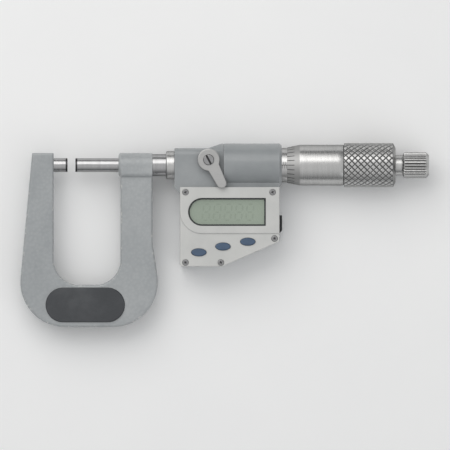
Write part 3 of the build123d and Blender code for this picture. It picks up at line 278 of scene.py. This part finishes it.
def turned(name, tint, rough=(0.20, 0.32), rings=9000.0, strength=0.07, stain=0.03, grime_and_shade=None, etched=None):
    """Satin chrome or ground steel turned about X: fine rings, faint handling marks.

    The groove tuple (lo, hi, x0, x1, depth) paints shade, partly grime, near black on what lies nearer than lo mm to
    the axis between x0 and x1, as in the bottoms of knurl grooves and flutes.
    etched=(x0, x1) is a stretch with a matt, slightly darker blasted finish, as under a scale.
    """
    m = Mat(name)
    ring = m.noise(m.mapped((1.0, 0.02, 0.02)), rings, 3.0, 0.6)
    band = m.noise(m.mapped((1.0, 0.05, 0.05)), 700.0, 3.0, 0.6)
    blot = m.noise(m.mapped((1, 1, 1)), 60.0, 5.0, 0.65)
    dark = tuple(c * (1 - 0.10) for c in tint)
    lite = tuple(min(1.0, c * 1.05) for c in tint)
    col = m.ramp(band, [(0.30, dark), (0.55, tint), (0.80, lite)])
    col = m.mix(stain * 4, col, m.ramp(blot, [(0.35, tuple(c * 0.82 for c in tint)), (0.6, lite)]))
    r0 = m.ramp(blot, [(0.30, gray(rough[0])), (0.72, gray(rough[1]))])
    r = m.mix(0.35, r0, m.ramp(ring, [(0.35, gray(rough[0] * 0.8)), (0.65, gray(rough[1] * 1.15))]))
    h = m.math("ADD", ring, m.math("MULTIPLY", blot, 0.08))
    # painted shade, partly grime: groove bottoms nearer the axis than lo mm go near black and rougher
    if grime_and_shade:
        lo, hi, x0, x1, depth = grime_and_shade
        deep = m.below(m.radius_x(), lo, hi)
        x = m.math("MULTIPLY", m.axis("X"), 1000.0)
        inside = m.math("MULTIPLY", m.math("GREATER_THAN", x, x0), m.math("LESS_THAN", x, x1))
        patch = m.ramp(m.noise(m.mapped((1, 1, 1)), 900.0, 4.0, 0.6), [(0.25, gray(0.75)), (0.7, gray(1.0))])
        mask = m.math("MULTIPLY", m.math("MULTIPLY", deep, inside), patch)
        col = m.mix(m.math("MULTIPLY", mask, depth), col, (0.035, 0.035, 0.037))
        r = m.mix(m.math("MULTIPLY", mask, 0.8), r, gray(0.62))
    if etched:
        x = m.math("MULTIPLY", m.axis("X"), 1000.0)
        on = m.math("MULTIPLY", m.math("GREATER_THAN", x, etched[0]), m.below(x, etched[1] - 0.15, etched[1] + 0.15))
        frost = m.noise(m.mapped((1, 1, 1)), 5200.0, 3.0, 0.6)
        col = m.mix(m.math("MULTIPLY", on, 0.85), col, m.ramp(frost, [(0.3, tuple(c * 0.72 for c in tint)), (0.7, tuple(c * 0.86 for c in tint))]))
        r = m.mix(on, r, m.ramp(frost, [(0.3, gray(0.50)), (0.7, gray(0.60))]))
    return m.finish(col, r, h, strength=strength, distance=0.02, bevel=0.10, Metallic=1.0, Specular_Tint=(0.4, 0.4, 0.4, 1))


def satin_flat(name, tint, rough=(0.24, 0.36), angle=0.0, strength=0.10, floor=None, step=None):
    """Flat satin metal with a straight grain at an angle about Z.

    floor is the height in mm under which it is painted dark: painted shade, partly grime, in the bottom of a screw
    slot; where y is over step[0] mm, that height is step[1] mm greater.
    """
    m = Mat(name)
    v = m.mapped((0.03, 1.0, 1.0), rotation=(0, 0, angle))
    grain = m.noise(v, 7000.0, 3.0, 0.6)
    blot = m.noise(m.mapped((1, 1, 1)), 90.0, 5.0, 0.65)
    col = m.ramp(grain, [(0.30, tuple(c * 0.88 for c in tint)), (0.7, tint)])
    col = m.mix(0.15, col, m.ramp(blot, [(0.35, tuple(c * 0.80 for c in tint)), (0.65, tint)]))
    r = m.ramp(blot, [(0.30, gray(rough[0])), (0.72, gray(rough[1]))])
    # painted shade, partly grime: near black and rougher below the slot floor height
    if floor is not None:
        z = m.math("MULTIPLY", m.axis("Z"), 1000.0)
        if step:
            y = m.math("MULTIPLY", m.axis("Y"), 1000.0)
            z = m.math("SUBTRACT", z, m.math("MULTIPLY", m.math("GREATER_THAN", y, step[0]), step[1]))
        mask = m.below(z, floor - 0.05, floor + 0.05)
        col = m.mix(m.math("MULTIPLY", mask, 0.85), col, (0.03, 0.03, 0.032))
        r = m.mix(m.math("MULTIPLY", mask, 0.8), r, gray(0.6))
    return m.finish(col, r, grain, strength=strength, distance=0.02, bevel=0.14, Metallic=1.0)


def plastic(name, base, dark, light, grain=2300.0, rough=(0.42, 0.55), strength=0.25, depth=0.03, bevel=0.15):
    """Moulded plastic with a spark-eroded grain, polished high spots, and edges painted slightly lighter as a
    highlight.
    """
    m = Mat(name)
    v = m.mapped((1, 1, 1))
    g = m.noise(v, grain, 4.0, 0.6)
    blot = m.noise(v, 60.0, 4.0, 0.6)
    col = m.ramp(blot, [(0.28, dark), (0.50, base), (0.75, light)])
    col = m.mix(0.12, col, m.ramp(g, [(0.35, dark), (0.65, light)]))
    edge = m.edges(0.30, 0.03, 0.30)
    # painted highlight: edges mixed slightly toward the lighter tone; the smoother roughness there is polish
    col = m.mix(m.math("MULTIPLY", edge, 0.18), col, light)
    r0 = m.ramp(m.noise(v, 30.0, 5.0, 0.65), [(0.30, gray(rough[0])), (0.70, gray(rough[1]))])
    r = m.mix(m.math("MULTIPLY", edge, 0.5), r0, gray(rough[0] * 0.75))
    return m.finish(col, r, g, strength=strength, distance=depth, bevel=bevel)


def rubber(name, base, dark, light, coat=0.0):
    m = Mat(name)
    v = m.mapped((1, 1, 1))
    g = m.noise(v, 3200.0, 3.0, 0.6)
    dust = m.noise(v, 160.0, 5.0, 0.7)
    col = m.ramp(dust, [(0.30, dark), (0.55, base), (0.80, light)])
    r = m.ramp(m.noise(v, 80.0, 4.0, 0.6), [(0.3, gray(0.50)), (0.7, gray(0.66))])
    return m.finish(col, r, g, strength=0.30, distance=0.03, bevel=0.12, Coat_Weight=coat, Coat_Roughness=0.30)


def board(name):
    """Circuit laminate: green solder mask with traces under it."""
    m = Mat(name)
    v = m.mapped((1, 1, 1))
    tr = m.add("ShaderNodeTexBrick")
    tr.inputs["Scale"].default_value = 260.0
    tr.inputs["Mortar Size"].default_value = 0.035
    m.link(v, tr.inputs["Vector"])
    tr.inputs["Color1"].default_value = (0.015, 0.16, 0.07, 1)
    tr.inputs["Color2"].default_value = (0.02, 0.20, 0.09, 1)
    tr.inputs["Mortar"].default_value = (0.06, 0.34, 0.16, 1)
    blot = m.noise(v, 120.0, 3.0, 0.6)
    col = m.mix(0.15, tr.outputs["Color"], m.ramp(blot, [(0.3, (0.01, 0.10, 0.05)), (0.7, (0.05, 0.30, 0.14))]))
    r = m.ramp(blot, [(0.3, gray(0.30)), (0.7, gray(0.42))])
    return m.finish(col, r, tr.outputs["Fac"], strength=0.2, distance=0.03, bevel=0.0)


def display_face(name):
    """Reflective display glass: grey-green with a faint mottle and a fine grain."""
    m = Mat(name)
    v = m.mapped((1, 1, 1))
    blot = m.noise(v, 30.0, 3.0, 0.5)
    col = m.ramp(blot, [(0.3, (0.405, 0.440, 0.375)), (0.7, (0.450, 0.485, 0.415))])
    fine = m.noise(v, 5200.0, 2.0, 0.5)
    col = m.mix(0.10, col, m.ramp(fine, [(0.35, (0.36, 0.395, 0.33)), (0.65, (0.50, 0.54, 0.46))]))
    r = m.ramp(fine, [(0.3, gray(0.38)), (0.7, gray(0.50))])
    return m.finish(col, r, fine, strength=0.08, distance=0.02, bevel=0.0)


def pane(name):
    """Clear window: mostly seen through, with a sharp reflection that grows at grazing angles."""
    m = Mat(name)
    see = m.add("ShaderNodeBsdfTransparent")
    see.inputs["Color"].default_value = (0.93, 0.95, 0.94, 1)
    gl = m.add("ShaderNodeBsdfGlossy")
    gl.inputs["Color"].default_value = (1, 1, 1, 1)
    smear = m.noise(m.mapped((1, 1, 1)), 70.0, 5.0, 0.65)
    m.link(m.ramp(smear, [(0.35, gray(0.03)), (0.75, gray(0.11))]), gl.inputs["Roughness"])
    lw = m.add("ShaderNodeLayerWeight")
    lw.inputs["Blend"].default_value = 0.5
    grazing = m.math("POWER", lw.outputs["Facing"], 5.0)
    mx = m.add("ShaderNodeMixShader")
    m.link(m.math("ADD", m.math("MULTIPLY", grazing, 0.70), 0.022), mx.inputs[0])
    m.link(see.outputs[0], mx.inputs[1])
    m.link(gl.outputs[0], mx.inputs[2])
    m.link(mx.outputs[0], m.out.inputs["Surface"])
    return m.m


def ink(name, c, low=0.7, high=1.5):
    m = Mat(name)
    n = m.noise(m.mapped((1, 1, 1)), 1500.0, 3.0, 0.6)
    col = m.ramp(n, [(0.3, tuple(x * low for x in c)), (0.7, tuple(min(1, x * high) for x in c))])
    r = m.ramp(n, [(0.3, gray(0.5)), (0.7, gray(0.7))])
    return m.finish(col, r, n, strength=0.1, distance=0.01, bevel=0.0)


MATS = {
    "frame_enamel": hammertone("frame_enamel", (0.355, 0.375, 0.385), (0.300, 0.320, 0.332), (0.420, 0.438, 0.445)),
    "housing_enamel": enamel("housing_enamel", (0.300, 0.318, 0.328), (0.262, 0.280, 0.290), (0.345, 0.362, 0.370)),
    "cover_plastic": plastic("cover_plastic", (0.600, 0.605, 0.590), (0.550, 0.556, 0.545), (0.655, 0.655, 0.640), grain=1800.0, strength=0.50, depth=0.05),
    "grip_plastic": plastic("grip_plastic", (0.050, 0.054, 0.060), (0.036, 0.040, 0.045), (0.085, 0.090, 0.096), grain=1500.0, strength=0.5, depth=0.05, rough=(0.50, 0.64)),
    "satin_chrome": turned("satin_chrome", (0.56, 0.56, 0.555), rough=(0.24, 0.34)),
    "ground_steel": turned("ground_steel", (0.46, 0.46, 0.465), rough=(0.18, 0.28), rings=12000.0),
    "hard_metal": turned("hard_metal", (0.060, 0.060, 0.064), rough=(0.20, 0.30), rings=14000.0, strength=0.05),
    "window_pane": pane("window_pane"),
    "display_glass": display_face("display_glass"),
    "holder_plastic": plastic("holder_plastic", (0.60, 0.60, 0.58), (0.54, 0.54, 0.52), (0.70, 0.70, 0.68)),
    "strip_rubber": rubber("strip_rubber", (0.10, 0.10, 0.11), (0.07, 0.07, 0.08), (0.14, 0.14, 0.15)),
    "seal_rubber": rubber("seal_rubber", (0.030, 0.031, 0.034), (0.020, 0.021, 0.024), (0.050, 0.052, 0.056)),
    "button_rubber": rubber("button_rubber", (0.060, 0.105, 0.180), (0.045, 0.082, 0.145), (0.085, 0.140, 0.220), coat=0.35),
    "mat_rubber": rubber("mat_rubber", (0.22, 0.23, 0.24), (0.18, 0.19, 0.20), (0.28, 0.29, 0.30)),
    "board_laminate": board("board_laminate"),
    "chip_resin": plastic("chip_resin", (0.03, 0.03, 0.032), (0.022, 0.022, 0.024), (0.05, 0.05, 0.052)),
    "contact_brass": turned("contact_brass", (0.70, 0.52, 0.24), rough=(0.25, 0.38)),
    "cell_steel": turned("cell_steel", (0.60, 0.60, 0.60), rough=(0.14, 0.22)),
    "dark_screw_steel": satin_flat("dark_screw_steel", (0.34, 0.34, 0.35), rough=(0.26, 0.38), angle=0.4),
    "spring_steel": turned("spring_steel", (0.40, 0.40, 0.41), rough=(0.25, 0.35)),
}
lever_metal = satin_flat("lever_metal", (0.50, 0.50, 0.495), rough=(0.34, 0.44), angle=1.07, strength=0.16)
# the slot bottoms of these two screws get painted shade, partly grime
lock_screw_metal = satin_flat("lock_screw_metal", (0.36, 0.36, 0.365), rough=(0.32, 0.42), angle=0.3, floor=11.62)
cover_screw_metal = satin_flat("cover_screw_metal", (0.34, 0.34, 0.345), rough=(0.32, 0.42), angle=0.7, floor=8.35, step=(-20.0, 0.6))
# the knurl and flute groove bottoms of these two get painted shade, partly grime
knurled_metal = turned("knurled_metal", (0.56, 0.56, 0.555), rough=(0.24, 0.34), grime_and_shade=(10.16, 10.44, 131.3, 155.1, 0.80), etched=(104.0, 110.55))
fluted_metal = turned("fluted_metal", (0.56, 0.56, 0.555), rough=(0.22, 0.32), grime_and_shade=(5.70, 6.05, 160.6, 170.4, 0.80))
mark_ink = ink("mark_ink", (0.012, 0.012, 0.014))
ghost_ink = ink("ghost_ink", (0.385, 0.418, 0.355), 0.97, 1.03)
mask_ink = ink("mask_ink", (0.020, 0.022, 0.024))

for sub in frame["record"]["subparts"]:
    o = nodes[sub["node"]]
    o.data.materials.clear()
    o.data.materials.append(MATS[sub["material_slot"]])
for n, m in (
    ("lock_lever", lever_metal), ("lock_screw", lock_screw_metal),
    ("cover_screws", cover_screw_metal), ("ratchet_knob", fluted_metal),
):
    nodes[n].data.materials.clear()
    nodes[n].data.materials.append(m)


# ---------------------------------------------------------------- mesh helpers
def new_object(name, verts, faces, material, smooth_angle=None):
    me = bpy.data.meshes.new(name)
    me.from_pydata(verts, [], faces)
    me.validate(verbose=False)
    me.materials.append(material)
    bm = bmesh.new()
    bm.from_mesh(me)
    bmesh.ops.recalc_face_normals(bm, faces=bm.faces)
    bm.to_mesh(me)
    bm.free()
    o = bpy.data.objects.new(name, me)
    scene.collection.objects.link(o)
    if smooth_angle is not None:
        me.shade_smooth()
        me.set_sharp_from_angle(angle=math.radians(smooth_angle))
    return o


# ---------------------------------------------------------------- thimble with its cut knurl
KR = 10.47                # the knurl's crests
N_AROUND, SUB = 22, 16
PX, XC = 2.936, 132.44    # the grooves' pitch along X, and a place where they cross
LEAD = 0.837 / N_AROUND   # how far that crossing is turned, as a part of one turn
GROOVE = 0.36
SEG = N_AROUND * SUB


def knurl_depth(x, t):
    """Depth of the crossed V grooves at axial place x and turn t (0 to 1), in mm."""
    a = N_AROUND * t + (x - XC) / PX
    b = N_AROUND * t - (x - XC) / PX
    best = 0.0
    for q in (a, b):
        d = abs(q - round(q)) * 2.093
        half = 0.36
        if d < half:
            k = 1.0 - d / half
            best = max(best, k if k > 0.2 else k * k * 2.5 + 0.1 * k)
    return GROOVE * min(best, 1.0)


profile = []          # (x, r, knurled)


def corner(x, r, k=False):
    profile.append((x, r, k))


corner(104.54, 8.25)
corner(104.54, 8.40)
corner(104.58, 8.46)
for i in range(1, 7):
    f = i / 7.0
    corner(104.58 + f * (110.45 - 104.58), 8.46 + f * (9.638 - 8.46))
corner(110.45, 9.638)
corner(110.66, 9.672)
corner(110.90, 9.68)
for i in range(1, 8):
    corner(110.90 + i / 8.0 * (131.20 - 110.90), 9.68)
corner(131.12, 9.68)
corner(131.22, 9.64)
corner(131.25, 9.56)
corner(131.25, 9.43)
corner(131.60, 9.43)
corner(131.60, 10.02)
corner(131.60, 10.22, True)
corner(131.66, 10.36, True)
corner(131.78, 10.45, True)
for i in range(-SUB, 9 * SUB):
    x = XC + i * PX / SUB
    if 131.86 < x < 154.86:
        corner(x, 10.47, True)
corner(154.90, 10.455, True)
for i in range(0, 7):
    f = i / 6.0
    corner(154.98 + f * (156.0 - 154.98), 10.40 + f * (8.36 - 10.40), i < 3)
corner(156.10, 8.20)
corner(156.13, 8.08)
corner(156.13, 5.00)
corner(156.08, 4.95)
corner(154.0, 4.95)
corner(154.0, 4.10)
corner(145.0, 4.60)
corner(145.0, 8.25)

verts, faces = [], []
for x, r, k in profile:
    for j in range(SEG):
        t = j / SEG
        rr = min(r, KR - knurl_depth(x, t)) if k else r
        a = 2 * math.pi * (t + LEAD)
        verts.append((x * MM, rr * math.cos(a) * MM, rr * math.sin(a) * MM))
P = len(profile)
for i in range(P):
    i2 = (i + 1) % P
    knurled = profile[i][2] and profile[i2][2]
    for j in range(SEG):
        j2 = (j + 1) % SEG
        a, b, c, d = i * SEG + j, i2 * SEG + j, i2 * SEG + j2, i * SEG + j2
        if knurled:
            # split the quad along the groove that passes nearest
            x = (profile[i][0] + profile[i2][0]) / 2
            t = (j + 0.5) / SEG
            qa = N_AROUND * t + (x - XC) / PX
            qb = N_AROUND * t - (x - XC) / PX
            if abs(qa - round(qa)) < abs(qb - round(qb)):
                faces += [(a, b, d), (b, c, d)]
            else:
                faces += [(a, b, c), (a, c, d)]
        else:
            faces.append((a, b, c, d))
thimble = new_object("thimble_body", verts, faces, knurled_metal, 24)
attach(thimble, "spindle")
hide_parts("thimble")


# ---------------------------------------------------------------- graduations and datum line
def bevel_radius(x):
    return 8.45 + (x - 104.54) * (9.68 - 8.45) / (110.66 - 104.54)


def strip_on_cone(verts, faces, x0, x1, angle, width, lift=0.012, sink=0.05, n=8):
    """A thin filled line lying in the cone, from x0 to x1 at an angle about X (0 is +Z)."""
    base = len(verts)
    for i in range(n + 1):
        x = x0 + (x1 - x0) * i / n
        r = bevel_radius(x)
        h = width / 2 / r
        for da, dr in ((-h, lift), (h, lift), (h, -sink), (-h, -sink)):
            a = angle + da
            verts.append((x * MM, (r + dr) * math.sin(a) * MM, (r + dr) * math.cos(a) * MM))
    for i in range(n):
        p, q = base + 4 * i, base + 4 * (i + 1)
        for k in range(4):
            k2 = (k + 1) % 4
            faces.append((p + k, p + k2, q + k2, q + k))
    faces.append((base, base + 1, base + 2, base + 3))
    e = base + 4 * n
    faces.append((e + 3, e + 2, e + 1, e))


mv, mf = [], []
for k in range(25):
    strip_on_cone(mv, mf, 104.62, 108.05, 2 * math.pi * k / 25, 0.32)
marks = new_object("thimble_graduations", mv, mf, mark_ink)
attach(marks, "spindle")

# datum line and main scale on the sleeve: 1 mm marks above it, half marks below it
SLEEVE_R, SCALE_ZERO = 8.2, 100.79
DIGITS = {
    "0": [(0.5 + 0.40 * math.sin(k * math.pi / 8), 0.5 + 0.50 * math.cos(k * math.pi / 8)) for k in range(17)],
    "1": [(0.26, 0.78), (0.56, 1.0), (0.56, 0.0)],
    "2": [(0.10, 0.72), (0.18, 0.89), (0.34, 0.98), (0.54, 1.0), (0.76, 0.94), (0.88, 0.78),
          (0.86, 0.60), (0.70, 0.42), (0.10, 0.0), (0.94, 0.0)],
    "5": [(0.86, 1.0), (0.20, 1.0), (0.14, 0.56), (0.34, 0.64), (0.56, 0.65), (0.78, 0.56),
          (0.90, 0.38), (0.88, 0.20), (0.74, 0.06), (0.52, 0.0), (0.28, 0.02), (0.08, 0.13)],
}


def ribbon_on_sleeve(verts, faces, pts, width, lift=0.010, sink=0.04):
    """A thin filled stroke through pts, given as x and as distance round the sleeve, in mm."""
    closed = math.dist(pts[0], pts[-1]) < 1e-6
    fine = [pts[0]]           # no chord over 0.3 mm, so that the stroke follows the round
    for a, b in zip(pts, pts[1:]):
        k = max(1, math.ceil(abs(b[1] - a[1]) / 0.3))
        fine += [(a[0] + (b[0] - a[0]) * i / k, a[1] + (b[1] - a[1]) * i / k) for i in range(1, k + 1)]
    pts = fine[:-1] if closed else fine
    n = len(pts)
    base = len(verts)
    for i in range(n):
        p = Vector(pts[i])
        before = (p - Vector(pts[i - 1])).normalized() if closed or i > 0 else None
        after = (Vector(pts[(i + 1) % n]) - p).normalized() if closed or i < n - 1 else None
        t = (before or after) + (after or before)
        t.normalize()
        side = Vector((-t.y, t.x))
        lean = max(0.5, abs(side.dot(Vector((-(after or before).y, (after or before).x)))))
        off = side * (width / 2 / lean)
        for sign, dr in ((1, lift), (-1, lift), (-1, -sink), (1, -sink)):
            x, u = p.x + sign * off.x, p.y + sign * off.y
            q = u / SLEEVE_R
            verts.append((x * MM, (SLEEVE_R + dr) * math.sin(q) * MM, (SLEEVE_R + dr) * math.cos(q) * MM))
    for i in range(n if closed else n - 1):
        c, d = base + 4 * i, base + 4 * ((i + 1) % n)
        for k in range(4):
            k2 = (k + 1) % 4
            faces.append((c + k, c + k2, d + k2, d + k))
    if not closed:
        faces.append((base, base + 1, base + 2, base + 3))
        e = base + 4 * (n - 1)
        faces.append((e + 3, e + 2, e + 1, e))


dv, df = [], []
ribbon_on_sleeve(dv, df, [(101.2, 0.0), (139.8, 0.0)], 0.26)
for k in range(2, 51):
    x = SCALE_ZERO + k / 2
    if k % 2:
        ribbon_on_sleeve(dv, df, [(x, -0.13), (x, -0.7), (x, -1.6)], 0.13)
    else:
        top = 2.5 if k % 10 == 0 else 1.6
        ribbon_on_sleeve(dv, df, [(x, 0.13), (x, 0.8), (x, top)], 0.13)
    if k % 10 == 0:
        word = str(k // 2)
        for i, ch in enumerate(word):
            x0 = x + (i - len(word) / 2) * 1.15 + 0.10
            ribbon_on_sleeve(dv, df, [(x0 + px * 0.95, 2.85 + py * 1.5) for px, py in DIGITS[ch]], 0.16)
scale = new_object("sleeve_scale", dv, df, mark_ink)
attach(scale, "instrument")

# ---------------------------------------------------------------- unlit display segments
SEGMENTS = {
    "a": ((0.16, 1.00), (0.84, 1.00)), "g": ((0.16, 0.50), (0.84, 0.50)), "d": ((0.16, 0.0), (0.84, 0.0)),
    "f": ((0.06, 0.94), (0.06, 0.56)), "b": ((0.94, 0.94), (0.94, 0.56)),
    "e": ((0.06, 0.44), (0.06, 0.06)), "c": ((0.94, 0.44), (0.94, 0.06)),
}


def bar(verts, faces, p, q, half, z, thick=0.03):
    """A six-cornered display segment from p to q, in mm."""
    d = Vector((q[0] - p[0], q[1] - p[1]))
    length = d.length
    u = d / length
    n = Vector((-u.y, u.x))
    ring = [
        (p[0], p[1]), (p[0] + (u.x + n.x) * half, p[1] + (u.y + n.y) * half),
        (q[0] + (-u.x + n.x) * half, q[1] + (-u.y + n.y) * half), (q[0], q[1]),
        (q[0] + (-u.x - n.x) * half, q[1] + (-u.y - n.y) * half),
        (p[0] + (u.x - n.x) * half, p[1] + (u.y - n.y) * half),
    ]
    base = len(verts)
    for zz in (z, z + thick):
        verts += [(x * MM, y * MM, zz * MM) for x, y in ring]
    faces.append(tuple(base + k for k in range(5, -1, -1)))
    faces.append(tuple(base + 6 + k for k in range(6)))
    for k in range(6):
        k2 = (k + 1) % 6
        faces.append((base + k, base + k2, base + 6 + k2, base + 6 + k))


gv, gf = [], []
DIG_W, DIG_H, PITCH, SLANT = 3.5, 7.6, 5.2, 0.10
x_start, y_start = 63.9, -26.2
for i in range(5):
    for p, q in SEGMENTS.values():
        def at(s):
            x = x_start + i * PITCH + s[0] * DIG_W + s[1] * DIG_H * SLANT
            return (x, y_start + s[1] * DIG_H)
        P0, Q0 = at(p), at(q)
        d = Vector((Q0[0] - P0[0], Q0[1] - P0[1])).normalized() * 0.10
        bar(gv, gf, (P0[0] + d.x, P0[1] + d.y), (Q0[0] - d.x, Q0[1] - d.y), 0.36, 7.29)
    if i == 0:
        cx, cy = x_start + i * PITCH + DIG_W + 0.72, y_start
        bar(gv, gf, (cx - 0.42, cy), (cx + 0.42, cy), 0.40, 7.29)
ghost = new_object("display_segments", gv, gf, ghost_ink)
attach(ghost, "instrument")

# ---------------------------------------------------------------- printed border under the window
def window_outline(inset, n=28):
    """The window's outline, inset in mm: a half circle on the left and square corners on the right."""
    cx, cy, r, x1 = 64.07, -22.27, 6.67 - inset, 94.41 - inset
    pts = []
    for i in range(n + 1):
        a = math.pi / 2 + math.pi * i / n
        pts.append((cx + r * math.cos(a), cy + r * math.sin(a)))
    c = 0.12
    for i in range(5):
        a = -math.pi / 2 + math.pi / 2 * i / 4
        pts.append((x1 - c + c * math.cos(a), cy - r + c + c * math.sin(a)))
    for i in range(5):
        a = math.pi / 2 * i / 4
        pts.append((x1 - c + c * math.cos(a), cy + r - c + c * math.sin(a)))
    return pts


outer, inner = window_outline(0.04), window_outline(0.78)
N = len(outer)
wv = [(x * MM, y * MM, z * MM) for z in (7.81, 7.85) for ring in (outer, inner) for x, y in ring]
wf = []
for i in range(N):
    j = (i + 1) % N
    lo_o, lo_i, hi_o, hi_i = i, N + i, 2 * N + i, 3 * N + i
    lo_o2, lo_i2, hi_o2, hi_i2 = j, N + j, 2 * N + j, 3 * N + j
    wf += [
        (hi_o, hi_o2, hi_i2, hi_i), (lo_o, lo_i, lo_i2, lo_o2),
        (lo_o, lo_o2, hi_o2, hi_o), (lo_i, hi_i, hi_i2, lo_i2),
    ]
border = new_object("window_border", wv, wf, mask_ink)
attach(border, "instrument")

# ---------------------------------------------------------------- floor, light, world
bm = bmesh.new()
bmesh.ops.create_grid(bm, x_segments=48, y_segments=48, size=6.0)
me = bpy.data.meshes.new("floor")
bm.to_mesh(me)
bm.free()
floor = bpy.data.objects.new("floor", me)
floor.location = (0.075, -0.03, -0.01101)
scene.collection.objects.link(floor)
fm = Mat("floor_paper")
fn = fm.noise(fm.mapped((1, 1, 1)), 14.0, 4.0, 0.6)
fine = fm.noise(fm.mapped((1, 1, 1)), 900.0, 3.0, 0.6)
me.materials.append(
    fm.finish(
        fm.ramp(fn, [(0.3, (0.935, 0.94, 0.943)), (0.7, (0.955, 0.96, 0.96))]),
        fm.ramp(fine, [(0.3, gray(0.62)), (0.7, gray(0.72))]),
        fine, strength=0.05, distance=0.05, bevel=0.0,
    )
)


def area(name, loc, target, size, power, color=(1, 1, 1)):
    li = bpy.data.lights.new(name, "AREA")
    li.shape = "RECTANGLE"
    li.size, li.size_y = size
    li.energy = power
    li.color = color
    o = bpy.data.objects.new(name, li)
    o.location = loc
    o.rotation_mode = "QUATERNION"
    o.rotation_quaternion = (Vector(target) - Vector(loc)).to_track_quat("-Z", "Y")
    scene.collection.objects.link(o)
    return o


mid = (0.075, -0.03, 0.0)
area("key", (-0.275, 0.57, 0.72), mid, (1.00, 0.90), 4.4, (1.0, 0.985, 0.965))
area("fill", (0.70, -0.70, 0.45), mid, (0.70, 0.60), 0.9, (0.95, 0.975, 1.0))

world = bpy.data.worlds.new("world")
scene.world = world
world.use_nodes = True
wt = world.node_tree
wt.nodes.clear()
wo = wt.nodes.new("ShaderNodeOutputWorld")
bg = wt.nodes.new("ShaderNodeBackground")
tc = wt.nodes.new("ShaderNodeTexCoord")
sep = wt.nodes.new("ShaderNodeSeparateXYZ")
rp = wt.nodes.new("ShaderNodeValToRGB")
rp.color_ramp.elements[0].position = 0.503
rp.color_ramp.elements[0].color = (1.02, 1.02, 1.015, 1)
rp.color_ramp.elements[1].position = 0.95
rp.color_ramp.elements[1].color = (1.0, 1.0, 1.0, 1)
e = rp.color_ramp.elements.new(0.52)
e.color = (0.10, 0.105, 0.11, 1)
mr = wt.nodes.new("ShaderNodeMapRange")
mr.inputs["From Min"].default_value = -1.0
wt.links.new(tc.outputs["Generated"], sep.inputs[0])
wt.links.new(sep.outputs["Z"], mr.inputs["Value"])
wt.links.new(mr.outputs[0], rp.inputs[0])
wt.links.new(rp.outputs[0], bg.inputs["Color"])
bg.inputs["Strength"].default_value = 0.75
scene.view_settings.view_transform = "Standard"
wt.links.new(bg.outputs[0], wo.inputs["Surface"])
